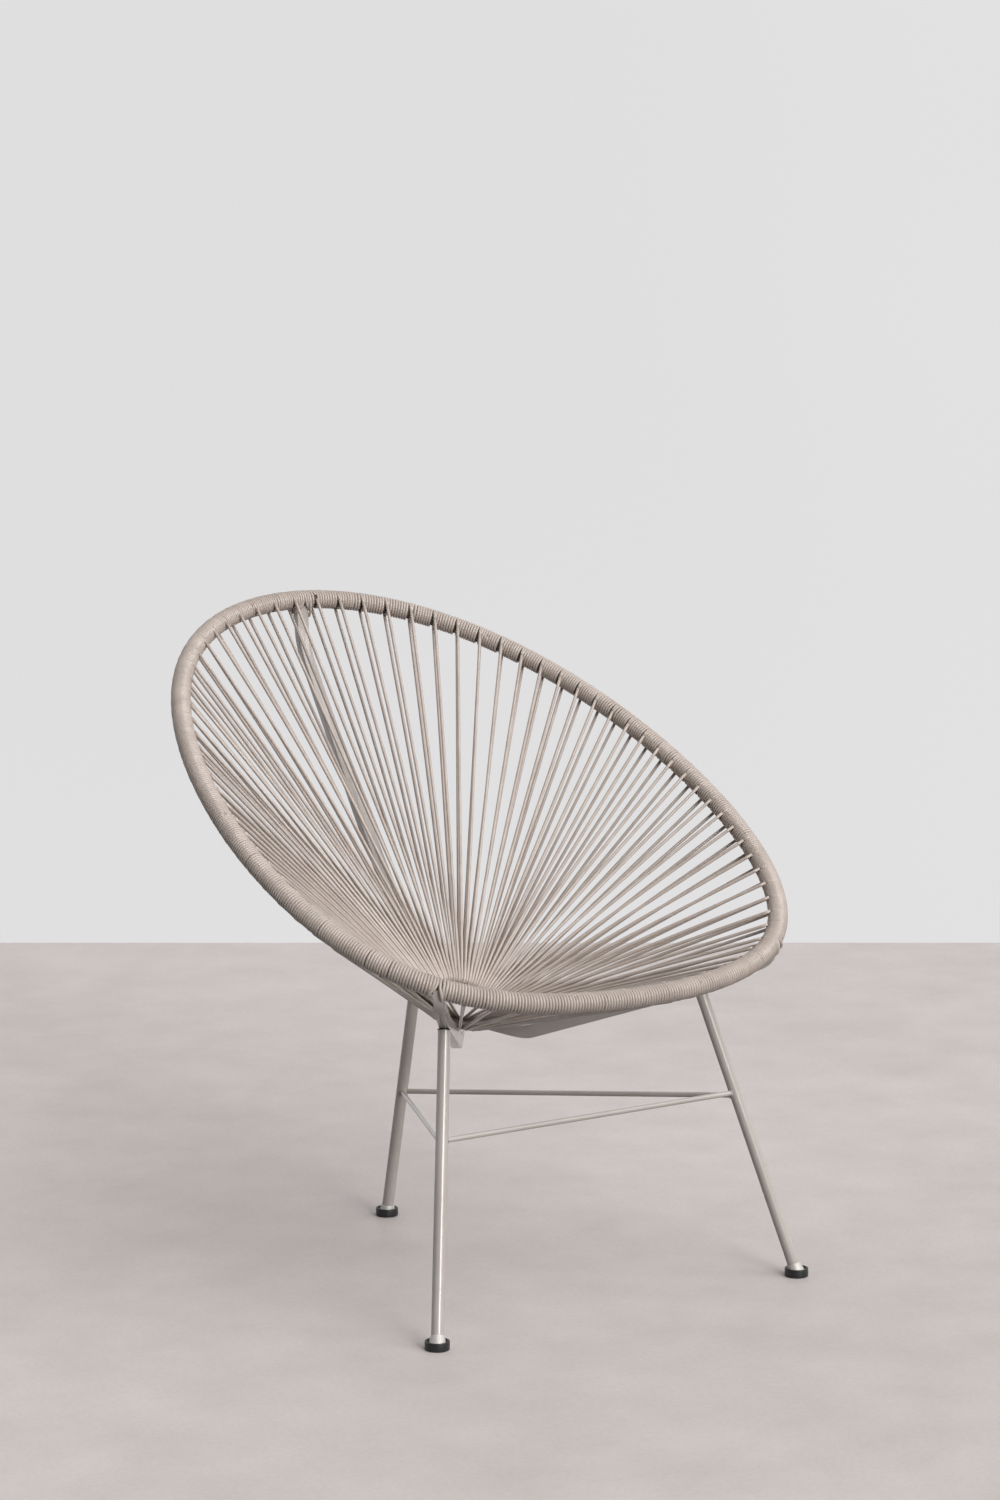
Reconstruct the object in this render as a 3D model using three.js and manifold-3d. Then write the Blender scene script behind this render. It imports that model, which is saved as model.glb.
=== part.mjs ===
// Acapulco chair: an egg-shaped rim wound with cord, a net of cords down to a small seat ring, three bent
// bars and a base of three tubular legs. Millimetres, +Z up, the seat opens towards -Y, left is -X.
import * as THREE from 'three';
import Module from 'manifold-3d';

const wasm = await Module();
wasm.setup();

// Fits. Every touching pair keeps this gap, and every cut runs past its solid by the overrun.
const fitGap = 0.3;
const cutOverrun = 40;
const mergeDistance = 0.001;
const quarterTurn = Math.PI / 2;
const fullTurn = Math.PI * 2;

// Rim: a flat hoop, tilted up at the back. Half its width is one value. Three make its length: half of it,
// how far the back is drawn out, and how much both ends are blunted.
const rimHalfWidth = 374.3;
const rimHalfLength = 474.7;
const rimBackDraw = 41.3;
const rimEndBlunting = 15.6;
const rimTiltDeg = 28.46;
const rimCentreHeight = 610;
const rimTubeRadius = 10;
const rimSides = 8;

// Cord: round, wound on the rim as one helix a sector. The cord of the net is a square of the same area.
const cordDiameter = 4;
const windingValleyShare = 0.4;
const windingSectors = 14;
const turnsPerSector = 9;
const boreStepsPerSector = 4;
const sectorGap = 0.4;
const stripSquareShare = 0.886;

// Net: two cords a station, closer together at the sides than at the back and the front.
const stations = 78;
const netSectors = 26;
const stationCrowdingShare = 0.068;
const stationPhaseShare = 0.59;
const cordSpreadShare = 0.045;
const cordBesideBarGap = 6;

// Seat ring: parallel to the rim, this far below its plane and this far forward of its middle.
const seatRingRadius = 50;
const seatRodRadius = 5;
const seatRingDepth = 253.7;
const seatRingForward = 102.7;
const seatRingSteps = 40;
const seatRodSides = 8;
const cordBendSteps = 3;

// Bars: rectangular tube, shown solid. The spine is in the middle plane. Its path is given from the rim's rear
// point as shares of the drop and the run from there to the seat ring's rear point.
const spineWidth = 17.5;
const spineDepth = 12;
const spinePathShares = [
  [0.014, 0.133],
  [0.129, 0.256],
  [0.328, 0.474],
  [0.476, 0.634],
  [0.632, 0.784],
  [0.804, 0.916],
];
const spineEndOverhang = 9;
const armWidth = 12.5;
const armDepth = 18;
const armShare = 0.3987;
const armDrop = 20;
const armBendRadius = 20;
const armBendSteps = 4;
const armBearingLength = 24;
const armSagOverLeg = 7;
const armEndTurnDeg = 151;
const armKneeBeforeRing = 54;
const armKneeDrop = 6.5;
const armEndDrop = 7;
const armEndDepth = 7.5;
const armEndOverhang = 3;

// Base: three legs, their cups and collars, and three stretcher rods.
const legRadius = 8;
const legWall = 1.5;
const legSides = 24;
const frontFootHalfSpread = 283.1;
const frontFootForward = 340.9;
const rearFootBehind = 217.2;
const frontLegLeanInDeg = 12.42;
const frontLegLeanBackDeg = 15.96;
const rearLegLeanDeg = 12.54;
const spacerThickness = 1.5;
const cupRadius = 15.55;
const cupHeight = 11;
const cupWall = 1.2;
const cupFloor = 4;
const cupEdge = 0.8;
const cupSides = 28;
const collarFootRadius = 11.5;
const collarTopRadius = 9.3;
const collarLength = 13;
const collarSides = 20;
const rodRadius = 3.5;
const rodSides = 10;
const frontRodHeight = 239.8;
const rearRodHeight = 187;

// Finishes.
const cordFinish = { color: 0xa89c90, roughness: 0.45, metalness: 0 };
const paintFinish = { color: 0x9c948d, roughness: 0.4, metalness: 0.2 };
const cupFinish = { color: 0x1b1b1d, roughness: 0.6, metalness: 0 };
const collarFinish = { color: 0xc8c6c3, roughness: 0.3, metalness: 0.9 };
const spacerFinish = { color: 0x202022, roughness: 0.7, metalness: 0 };

const radians = THREE.MathUtils.degToRad;
const rimTilt = radians(rimTiltDeg);
const across = new THREE.Vector3(1, 0, 0);
const up = new THREE.Vector3(0, 0, 1);
const lengthwise = new THREE.Vector3(0, Math.cos(rimTilt), Math.sin(rimTilt));
const rimNormal = new THREE.Vector3(0, -Math.sin(rimTilt), Math.cos(rimTilt));
const woundRadius = rimTubeRadius + cordDiameter;
const valleyRadius = woundRadius - cordDiameter * windingValleyShare;
const cordHalf = (cordDiameter * stripSquareShare) / 2;

// A point from a start and any number of direction and length pairs.
function along(start, ...steps) {
  const point = start.clone();
  for (const [direction, length] of steps) point.addScaledVector(direction, length);
  return point;
}

// Rim curve, by its angle from the rear point towards +X.
const rimCentre = along(new THREE.Vector3(), [up, rimCentreHeight]);

function rimPointAtAngle(angle) {
  const run =
    rimHalfLength * Math.cos(angle) +
    rimBackDraw * Math.cos(2 * angle) -
    rimEndBlunting * Math.cos(3 * angle);
  return along(rimCentre, [across, rimHalfWidth * Math.sin(angle)], [lengthwise, run]);
}

const rimSamples = 1440;
const rimLengths = [0];
for (let i = 1; i <= rimSamples; i++) {
  const before = rimPointAtAngle(((i - 1) / rimSamples) * fullTurn);
  const here = rimPointAtAngle((i / rimSamples) * fullTurn);
  rimLengths.push(rimLengths[i - 1] + here.distanceTo(before));
}
const rimLength = rimLengths[rimSamples];

// The rim's angle at a share of its length.
function rimAngle(share) {
  const whole = Math.floor(share);
  const target = (share - whole) * rimLength;
  let low = 0;
  let high = rimSamples;
  while (high - low > 1) {
    const middle = Math.floor((low + high) / 2);
    if (rimLengths[middle] > target) high = middle;
    else low = middle;
  }
  const part = (target - rimLengths[low]) / (rimLengths[high] - rimLengths[low]);
  return ((low + part) / rimSamples + whole) * fullTurn;
}

// Point, tangent and outward direction of the rim at a share of its length.
function rimFrame(share) {
  const angle = rimAngle(share);
  const half = fullTurn / rimSamples;
  const point = rimPointAtAngle(angle);
  const tangent = rimPointAtAngle(angle + half).sub(rimPointAtAngle(angle - half)).normalize();
  const outward = new THREE.Vector3().crossVectors(rimNormal, tangent);
  return { point, tangent, outward };
}

// Point on a polygonal ring of the rim at a share, with its sides numbered from the outward direction.
function rimRingPoint(share, side, radius) {
  const { point, outward } = rimFrame(share);
  const turn = (side / rimSides) * fullTurn;
  return along(point, [outward, radius * Math.cos(turn)], [rimNormal, radius * Math.sin(turn)]);
}

// The tube's own chord stations: between them its rings are joined by straight faces.
const rimTubeSteps = windingSectors * boreStepsPerSector;

function rimChordPoint(share, side, radius) {
  const place = share * rimTubeSteps;
  const low = Math.floor(place + mergeDistance);
  const part = Math.max(place - low, 0);
  const from = rimRingPoint(low / rimTubeSteps, side, radius);
  if (part < mergeDistance) return from;
  return from.lerp(rimRingPoint((low + 1) / rimTubeSteps, side, radius), part);
}

// Seat ring.
const ringCentre = along(rimCentre, [rimNormal, -seatRingDepth], [lengthwise, -seatRingForward]);

function ringOutward(angle) {
  return along(new THREE.Vector3(), [across, Math.sin(angle)], [lengthwise, Math.cos(angle)]);
}

function ringPoint(angle) {
  return along(ringCentre, [ringOutward(angle), seatRingRadius]);
}

// Station places: a share of the whole turn, and the share of the rim's length that it falls on.
function crowded(turnShare) {
  return (
    turnShare +
    (stationCrowdingShare * Math.sin(2 * fullTurn * turnShare)) / (2 * fullTurn)
  );
}

// Solids from points and faces. Points that coincide are joined and faces left without area are dropped.
function solidFrom(points, faces) {
  const keys = new Map();
  const kept = [];
  const index = points.map((point) => {
    const key = point.toArray().map((value) => Math.round(value / mergeDistance)).join();
    if (!keys.has(key)) {
      keys.set(key, kept.length);
      kept.push(point);
    }
    return keys.get(key);
  });
  const triangles = [];
  for (const face of faces) {
    const corners = face.map((corner) => index[corner]);
    for (let i = 1; i + 1 < corners.length; i++) {
      const [a, b, c] = [corners[0], corners[i], corners[i + 1]];
      if (a !== b && b !== c && c !== a) triangles.push([a, b, c]);
    }
  }
  let volume = 0;
  for (const [a, b, c] of triangles) {
    volume += kept[a].dot(new THREE.Vector3().crossVectors(kept[b], kept[c]));
  }
  if (volume < 0) triangles.forEach((triangle) => triangle.reverse());
  const geometry = new THREE.BufferGeometry();
  geometry.setAttribute('position', new THREE.Float32BufferAttribute(kept.flatMap((p) => p.toArray()), 3));
  geometry.setIndex(triangles.flat());
  return geometry;
}

// A body through rings of equal counts: closed joins the last ring to the first, otherwise both are capped.
function loft(rings, closed) {
  const count = rings[0].length;
  const points = rings.flat();
  const faces = [];
  const spans = closed ? rings.length : rings.length - 1;
  for (let i = 0; i < spans; i++) {
    const here = i * count;
    const next = ((i + 1) % rings.length) * count;
    for (let j = 0; j < count; j++) {
      const k = (j + 1) % count;
      faces.push([here + j, here + k, next + k, next + j]);
    }
  }
  if (!closed) {
    const last = (rings.length - 1) * count;
    faces.push(rings[0].map((point, j) => count - 1 - j));
    faces.push(rings[0].map((point, j) => last + j));
  }
  return solidFrom(points, faces);
}

// Boolean bodies.
function asBody(geometry) {
  return new wasm.Manifold(
    new wasm.Mesh({
      numProp: 3,
      vertProperties: new Float32Array(geometry.getAttribute('position').array),
      triVerts: new Uint32Array(geometry.index.array),
    }),
  );
}

function asGeometry(body) {
  const mesh = body.getMesh();
  const geometry = new THREE.BufferGeometry();
  geometry.setAttribute('position', new THREE.Float32BufferAttribute(Array.from(mesh.vertProperties), 3));
  geometry.setIndex(Array.from(mesh.triVerts));
  return geometry;
}

function cutBy(geometry, ...tools) {
  return asGeometry(tools.reduce((body, tool) => body.subtract(asBody(tool)), asBody(geometry)));
}

// The side directions of a straight piece.
function sideways(direction, hint) {
  const first = new THREE.Vector3().crossVectors(direction, hint).normalize();
  const second = new THREE.Vector3().crossVectors(first, direction).normalize();
  return [first, second];
}

// The outline of a round piece where its straight sides meet a plane.
function roundInPlane(axisPoint, direction, radius, sides, planePoint, planeNormal) {
  const [first, second] = sideways(direction, across);
  const ring = [];
  for (let i = 0; i < sides; i++) {
    const turn = (i / sides) * fullTurn;
    const start = along(axisPoint, [first, radius * Math.cos(turn)], [second, radius * Math.sin(turn)]);
    const reach = planePoint.clone().sub(start).dot(planeNormal) / direction.dot(planeNormal);
    ring.push(along(start, [direction, reach]));
  }
  return ring;
}

// A bar of rectangular section along a path, its width kept level or in one plane. Its depth is one length, or a
// list with one for each point of the path.
function barAlong(path, widthDirections, width, depth) {
  const rings = path.map((point, i) => {
    const before = path[Math.max(i - 1, 0)];
    const after = path[Math.min(i + 1, path.length - 1)];
    const into = i > 0 ? point.clone().sub(before).normalize() : after.clone().sub(point).normalize();
    const out = i < path.length - 1 ? after.clone().sub(point).normalize() : into.clone();
    const direction = into.clone().add(out).normalize();
    const widthway = widthDirections[i];
    const depthway = new THREE.Vector3().crossVectors(direction, widthway).normalize();
    const stretch = 1 / direction.dot(into);
    const depthHere = Array.isArray(depth) ? depth[i] : depth;
    const corners = [
      [-1, -1],
      [1, -1],
      [1, 1],
      [-1, 1],
    ];
    return corners.map(([w, d]) =>
      along(point, [widthway, (w * width) / 2], [depthway, (d * depthHere * stretch) / 2]),
    );
  });
  return loft(rings, false);
}

// Rounds the corner between two straight runs.
function roundedCorner(before, corner, after, radius, steps) {
  const into = corner.clone().sub(before).normalize();
  const out = after.clone().sub(corner).normalize();
  const bend = Math.acos(into.dot(out));
  const inset = radius * Math.tan(bend / 2);
  const start = along(corner, [into, -inset]);
  const inward = out.clone().addScaledVector(into, -out.dot(into)).normalize();
  const centre = along(start, [inward, radius]);
  const points = [];
  for (let i = 0; i <= steps; i++) {
    const turn = (bend * i) / steps;
    points.push(along(centre, [inward, -radius * Math.cos(turn)], [into, radius * Math.sin(turn)]));
  }
  return points;
}

// Rim tube, and the same body grown by a clearance as a cutter.
function rimBody(radius) {
  const rings = [];
  for (let i = 0; i < rimTubeSteps; i++) {
    rings.push(Array.from({ length: rimSides }, (none, side) => rimRingPoint(i / rimTubeSteps, side, radius)));
  }
  return loft(rings, true);
}

// Winding of one sector: a sleeve whose outer skin is one helical ridge, and whose bore follows the tube.
const halfGapShare = sectorGap / 2 / rimLength;

function windingSleeve(sector) {
  const from = (sector - 1 / 2) / windingSectors + halfGapShare;
  const to = (sector + 1 / 2) / windingSectors - halfGapShare;
  const place = (part) => from + (to - from) * part;
  const rows = 2 * turnsPerSector;
  const points = [];
  const faces = [];
  // Row i is a crest where i is even. Each row climbs by one turn, which is two rows, as it goes round.
  for (let i = -2; i <= rows; i++) {
    for (let side = 0; side <= rimSides; side++) {
      const part = (i + (2 * side) / rimSides) / rows;
      const inside = part > mergeDistance && part < 1 - mergeDistance;
      const radius = inside && i % 2 === 0 ? woundRadius : valleyRadius;
      points.push(rimRingPoint(place(Math.min(Math.max(part, 0), 1)), side % rimSides, radius));
    }
  }
  const width = rimSides + 1;
  for (let i = 0; i < rows + 2; i++) {
    for (let side = 0; side < rimSides; side++) {
      const a = i * width + side;
      faces.push([a, a + width, a + width + 1, a + 1]);
    }
  }
  // The bore, from end to end, and the two flat ends.
  const boreStart = points.length;
  const shares = [from];
  const firstChord = Math.ceil(from * rimTubeSteps + mergeDistance);
  for (let i = firstChord; i / rimTubeSteps < to - mergeDistance / rimTubeSteps; i++) shares.push(i / rimTubeSteps);
  shares.push(to);
  for (const share of shares) {
    for (let side = 0; side <= rimSides; side++) {
      points.push(rimChordPoint(share, side % rimSides, rimTubeRadius + fitGap));
    }
  }
  for (let i = 0; i + 1 < shares.length; i++) {
    for (let side = 0; side < rimSides; side++) {
      const a = boreStart + i * width + side;
      faces.push([a, a + 1, a + width + 1, a + width]);
    }
  }
  const rims = [
    [0, boreStart],
    [1, boreStart + (shares.length - 1) * width],
  ];
  for (const [end, bore] of rims) {
    const outer = points.length;
    for (let side = 0; side <= rimSides; side++) {
      points.push(rimRingPoint(place(end), side % rimSides, valleyRadius));
    }
    for (let side = 0; side < rimSides; side++) {
      const quad = [outer + side, outer + side + 1, bore + side + 1, bore + side];
      faces.push(end === 0 ? quad : quad.reverse());
    }
  }
  return solidFrom(points, faces);
}

// Net. A cord end is the corner lines of its square, each run on to the wound surface of the rim.
const barCentreShares = [armShare, 1 - armShare];

function rimShareOfCord(turnShare, side) {
  let share = crowded(turnShare);
  if (side > 0) return share;
  const clear = (armWidth / 2 + cordHalf + cordBesideBarGap) / rimLength;
  for (const centre of barCentreShares) {
    const off = share - centre;
    if (Math.abs(off) < clear) share = centre + clear * Math.sign(off || 1);
  }
  return share;
}

// Side is 1 for the cord over the ring and -1 for the cord under it.
function cordLayout(turnShare, side, ringAngle) {
  const { point, tangent } = rimFrame(rimShareOfCord(turnShare, side));
  const ring = ringPoint(ringAngle);
  const direction = point.clone().sub(ring).normalize();
  const offset = new THREE.Vector3().crossVectors(direction, tangent).normalize();
  if (offset.dot(rimNormal) < 0) offset.negate();
  return { point, tangent, direction, offset };
}

function cordEnd(layout, side, base, targets) {
  const { point, tangent } = layout;
  // The flat end is a chord of this circle, no longer than two cords, and clears the crests in its middle.
  const reachRadius = Math.hypot(woundRadius + fitGap, cordDiameter);
  return base.map((start, i) => {
    const direction = targets[i].clone().sub(start).normalize();
    const flat = (vector) => vector.clone().addScaledVector(tangent, -vector.dot(tangent));
    const from = flat(start.clone().sub(point));
    const step = flat(direction);
    const a = step.dot(step);
    const b = from.dot(step);
    const c = from.dot(from) - reachRadius * reachRadius;
    return along(start, [direction, (-b - Math.sqrt(Math.max(b * b - a * c, 0))) / a]);
  });
}

// The hairpin of the cords round the ring, in the plane of the ring's rod at an angle: outer and inner points
// from over the rod, round its inner side, to under it.
const ringWoundRadius = seatRodRadius + cordDiameter;

function hairpin(boundaryAngle, slopeAngle) {
  const outward = ringOutward(boundaryAngle);
  const centre = ringPoint(boundaryAngle);
  const outer = [];
  const inner = [];
  for (let i = 0; i <= cordBendSteps; i++) {
    const turn = slopeAngle + quarterTurn + (i / cordBendSteps) * (fullTurn / 2);
    const innerReach = (seatRodRadius + fitGap) / Math.cos(fullTurn / 4 / cordBendSteps);
    const place = (reach) =>
      along(centre, [outward, reach * Math.cos(turn)], [rimNormal, reach * Math.sin(turn)]);
    outer.push(place(ringWoundRadius));
    inner.push(place(innerReach));
  }
  return { outer, inner };
}

// How steeply the net climbs from the ring, at a ring angle.
function netSlope(ringAngle) {
  const climb = rimFrame(ringAngle / fullTurn).point.sub(ringPoint(ringAngle));
  return Math.atan2(climb.dot(rimNormal), climb.dot(ringOutward(ringAngle)));
}

const netGapAngle = sectorGap / 2 / (seatRingRadius - ringWoundRadius);
const stationsPerSector = stations / netSectors;

function netSector(sector) {
  const points = [];
  const faces = [];
  const put = (...added) => {
    const start = points.length;
    points.push(...added);
    return added.map((point, i) => start + i);
  };
  const boundaries = [];
  for (let i = 0; i <= stationsPerSector; i++) {
    const station = sector * stationsPerSector + i;
    let angle = ((station - 1 / 2 + stationPhaseShare) / stations) * fullTurn;
    if (i === 0) angle += netGapAngle;
    if (i === stationsPerSector) angle -= netGapAngle;
    const { outer, inner } = hairpin(angle, netSlope(angle));
    boundaries.push({ outer: put(...outer), inner: put(...inner) });
  }
  for (let i = 0; i < stationsPerSector; i++) {
    const a = boundaries[i];
    const b = boundaries[i + 1];
    for (let j = 0; j < cordBendSteps; j++) {
      faces.push([a.outer[j], a.outer[j + 1], b.outer[j + 1], b.outer[j]]);
      faces.push([a.inner[j + 1], a.inner[j], b.inner[j], b.inner[j + 1]]);
    }
    for (const [side, tip] of [
      [1, 0],
      [-1, cordBendSteps],
    ]) {
      const base = [a.outer[tip], a.inner[tip], b.inner[tip], b.outer[tip]];
      const station = sector * stationsPerSector + i + stationPhaseShare;
      const ringAngle = (station / stations) * fullTurn;
      const layout = cordLayout((station - side * cordSpreadShare) / stations, side, ringAngle);
      const middle = along(layout.point, [layout.offset, side * (woundRadius - cordDiameter / 2)]);
      const corner = (t, o) => along(middle, [layout.tangent, t * cordHalf], [layout.offset, side * o * cordHalf]);
      const targets = [corner(-1, 1), corner(-1, -1), corner(1, -1), corner(1, 1)];
      const starts = base.map((place) => points[place]);
      const end = put(...cordEnd(layout, side, starts, targets));
      for (let j = 0; j < base.length; j++) {
        const k = (j + 1) % base.length;
        const quad = [base[j], base[k], end[k], end[j]];
        faces.push(side > 0 ? quad.reverse() : quad);
      }
      faces.push(side > 0 ? end.slice().reverse() : end);
    }
  }
  for (const [end, sign] of [
    [boundaries[0], 1],
    [boundaries[stationsPerSector], -1],
  ]) {
    for (let j = 0; j < cordBendSteps; j++) {
      const quad = [end.outer[j], end.inner[j], end.inner[j + 1], end.outer[j + 1]];
      faces.push(sign > 0 ? quad : quad.reverse());
    }
  }
  return solidFrom(points, faces);
}

// Seat ring.
function seatRing() {
  const rings = [];
  for (let i = 0; i < seatRingSteps; i++) {
    const angle = (i / seatRingSteps) * fullTurn;
    rings.push(
      Array.from({ length: seatRodSides }, (none, side) => {
        const turn = (side / seatRodSides) * fullTurn;
        return along(
          ringPoint(angle),
          [ringOutward(angle), seatRodRadius * Math.cos(turn)],
          [rimNormal, seatRodRadius * Math.sin(turn)],
        );
      }),
    );
  }
  return loft(rings, true);
}

// The space that the cords take round the ring, grown by a clearance.
function ringEnvelope(clearance) {
  const rings = [];
  for (let i = 0; i < seatRingSteps; i++) {
    const angle = (i / seatRingSteps) * fullTurn;
    const sides = 2 * seatRodSides;
    const reach = (ringWoundRadius + clearance) / Math.cos(fullTurn / 2 / sides);
    rings.push(
      Array.from({ length: sides }, (none, side) => {
        const turn = (side / sides) * fullTurn;
        return along(
          ringPoint(angle),
          [ringOutward(angle), reach * Math.cos(turn)],
          [rimNormal, reach * Math.sin(turn)],
        );
      }),
    );
  }
  return loft(rings, true);
}

// Spine: down from the rim's rear point, along its path, and under the ring's rear point on its tangent.
const rimRear = rimFrame(0).point;
const ringRear = ringPoint(0);

function spinePath() {
  const run = ringRear.clone().sub(rimRear);
  const path = [rimRear.clone()];
  for (const [runShare, dropShare] of spinePathShares) {
    path.push(new THREE.Vector3(0, rimRear.y + run.y * runShare, rimRear.z + run.z * dropShare));
  }
  const last = path[path.length - 1];
  const reach = ringWoundRadius + fitGap + spineDepth / 2;
  const toRing = ringRear.clone().sub(last);
  const distance = toRing.length();
  const dip = Math.asin(reach / distance);
  const heading = toRing.clone().normalize().applyAxisAngle(across, dip);
  const tangentLength = Math.sqrt(distance * distance - reach * reach);
  path.push(along(last, [heading, tangentLength + spineEndOverhang]));
  return path;
}

function backSpine() {
  const path = spinePath();
  const bar = barAlong(path, path.map(() => across), spineWidth, spineDepth);
  return cutBy(bar, rimBody(rimTubeRadius + fitGap), ringEnvelope(fitGap), aboveRim(path[0], spineWidth));
}

// Everything of a bar's first run that lies above the rim's centre line there.
function aboveRim(point, width) {
  const top = along(point, [up, cutOverrun]);
  const box = barAlong([point, top], [across, across], width + cutOverrun, width + cutOverrun);
  return box;
}

// The cut that a bar needs in the winding: its section and a clearance, along the first points of its path.
function barNotch(path, widthway, width, depth) {
  const last = path[path.length - 1];
  const heading = last.clone().sub(path[path.length - 2]).normalize();
  const run = [...path, along(last, [heading, cutOverrun])];
  return barAlong(run, run.map(() => widthway), width + 2 * fitGap, depth + 2 * fitGap);
}

// Legs. Each is an axis from the middle of its cup's floor.
function legAxis(footX, footY, slopeX, slopeY) {
  const foot = along(new THREE.Vector3(footX, footY, 0), [up, cupFloor]);
  const direction = new THREE.Vector3(slopeX, slopeY, 1).normalize();
  return { foot, direction };
}

function onAxis(axis, height) {
  return along(axis.foot, [axis.direction, (height - axis.foot.z) / axis.direction.z]);
}

const leanIn = Math.tan(radians(frontLegLeanInDeg));
const leanBack = Math.tan(radians(frontLegLeanBackDeg));
const leanForward = Math.tan(radians(rearLegLeanDeg));
const legAxes = {
  front_left: legAxis(-frontFootHalfSpread, -frontFootForward, leanIn, leanBack),
  front_right: legAxis(frontFootHalfSpread, -frontFootForward, -leanIn, leanBack),
  rear: legAxis(0, rearFootBehind, 0, -leanForward),
};

// Arms: down from the rim, bent inwards, over the front leg, level out at a knee and end under the ring.
function armPath(side) {
  const start = rimFrame(side > 0 ? armShare : 1 - armShare).point;
  const corner = along(start, [up, -armDrop]);
  const angle = side > 0 ? radians(armEndTurnDeg) : -radians(armEndTurnDeg);
  const seat = along(ringPoint(angle), [rimNormal, -ringWoundRadius]);
  const inwards = seat.clone().sub(corner).setZ(0).normalize();
  const knee = along(seat, [inwards, -armKneeBeforeRing], [up, -armKneeDrop]);
  const end = along(seat, [inwards, armEndOverhang], [up, -armEndDrop]);
  const overLeg = placeOverLeg(side, corner, knee);
  const out = knee.clone().sub(overLeg).normalize();
  const heading = overLeg.clone().sub(corner).normalize().add(out).normalize();
  const bearingStart = along(overLeg, [heading, -armBearingLength / 2]);
  const bearingEnd = along(overLeg, [heading, armBearingLength / 2]);
  const bend = roundedCorner(start, corner, bearingStart, armBendRadius, armBendSteps);
  return { path: [start, ...bend, bearingStart, bearingEnd, knee, end], overLeg, heading };
}

// The place on the arm's middle line over the leg: where the leg's axis meets the line from the arm's corner to
// its knee, which sags there.
function placeOverLeg(side, corner, knee) {
  const axis = side > 0 ? legAxes.front_right : legAxes.front_left;
  const run = knee.clone().sub(corner).normalize();
  const level = new THREE.Vector3().crossVectors(run, up).normalize();
  const bowed = new THREE.Vector3().crossVectors(level, run).normalize();
  const onBow = along(corner, [bowed, -armSagOverLeg]);
  const reach = onBow.sub(axis.foot).dot(bowed) / axis.direction.dot(bowed);
  return along(axis.foot, [axis.direction, reach]);
}

function levelWidth(path) {
  return path.map((point, i) => {
    const before = path[Math.max(i - 1, 1)];
    const after = path[Math.max(Math.min(i + 1, path.length - 1), 2)];
    const level = after.clone().sub(before).setZ(0).normalize();
    return new THREE.Vector3().crossVectors(level, up).normalize();
  });
}

function frontArm(side) {
  const { path } = armPath(side);
  const depths = path.map((point, i) => (i < path.length - 1 ? armDepth : armEndDepth));
  const bar = barAlong(path, levelWidth(path), armWidth, depths);
  return cutBy(bar, rimBody(rimTubeRadius + fitGap), ringEnvelope(fitGap));
}

// The plane of a bar's underside where a leg meets it.
function bearing(legName) {
  const axis = legAxes[legName];
  if (legName === 'rear') {
    const path = spinePath();
    const [from, to] = path.slice(-2);
    const heading = to.clone().sub(from).normalize();
    const normal = new THREE.Vector3().crossVectors(heading, across).normalize();
    if (normal.z > 0) normal.negate();
    return { point: along(from, [normal, spineDepth / 2]), normal, axis };
  }
  const side = legName === 'front_right' ? 1 : -1;
  const { overLeg, heading } = armPath(side);
  const level = new THREE.Vector3().crossVectors(heading, up).normalize();
  const normal = new THREE.Vector3().crossVectors(heading, level).normalize();
  if (normal.z > 0) normal.negate();
  return { point: along(overLeg, [normal, armDepth / 2]), normal, axis };
}

function legTube(legName) {
  const { point, normal, axis } = bearing(legName);
  const topPoint = along(point, [normal, 2 * fitGap + spacerThickness]);
  const footPoint = along(axis.foot, [up, fitGap]);
  const ring = (radius, place, planeNormal) =>
    roundInPlane(axis.foot, axis.direction, radius, legSides, place, planeNormal);
  const bore = legRadius - legWall;
  return loft(
    [
      ring(legRadius, footPoint, up),
      ring(legRadius, topPoint, normal),
      ring(bore, topPoint, normal),
      ring(bore, footPoint, up),
    ],
    true,
  );
}

function legSpacer(legName) {
  const { point, normal, axis } = bearing(legName);
  const ring = (depth) =>
    roundInPlane(axis.foot, axis.direction, legRadius, legSides, along(point, [normal, depth]), normal);
  return loft([ring(fitGap), ring(fitGap + spacerThickness)], false);
}

function footCup(legName) {
  const inner = cupRadius - cupWall;
  const profile = [
    [0, 0],
    [cupRadius - cupEdge, 0],
    [cupRadius, cupEdge],
    [cupRadius, cupHeight],
    [inner, cupHeight],
    [inner, cupFloor],
    [0, cupFloor],
  ].map(([r, z]) => new THREE.Vector2(r, z));
  const geometry = new THREE.LatheGeometry(profile, cupSides);
  geometry.rotateX(quarterTurn);
  const { foot } = legAxes[legName];
  return geometry.translate(foot.x, foot.y, 0);
}

function footCollar(legName) {
  const { foot, direction } = legAxes[legName];
  const low = along(foot, [up, fitGap]);
  const high = along(low, [direction, collarLength]);
  const ring = (radius, place, normal) =>
    roundInPlane(foot, direction, radius, collarSides, place, normal);
  const hole = (legRadius + fitGap) / Math.cos(fullTurn / 2 / collarSides);
  return loft(
    [
      ring(collarFootRadius, low, up),
      ring(collarTopRadius + fitGap, high, direction),
      ring(hole, high, direction),
      ring(hole, low, up),
    ],
    true,
  );
}

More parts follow.
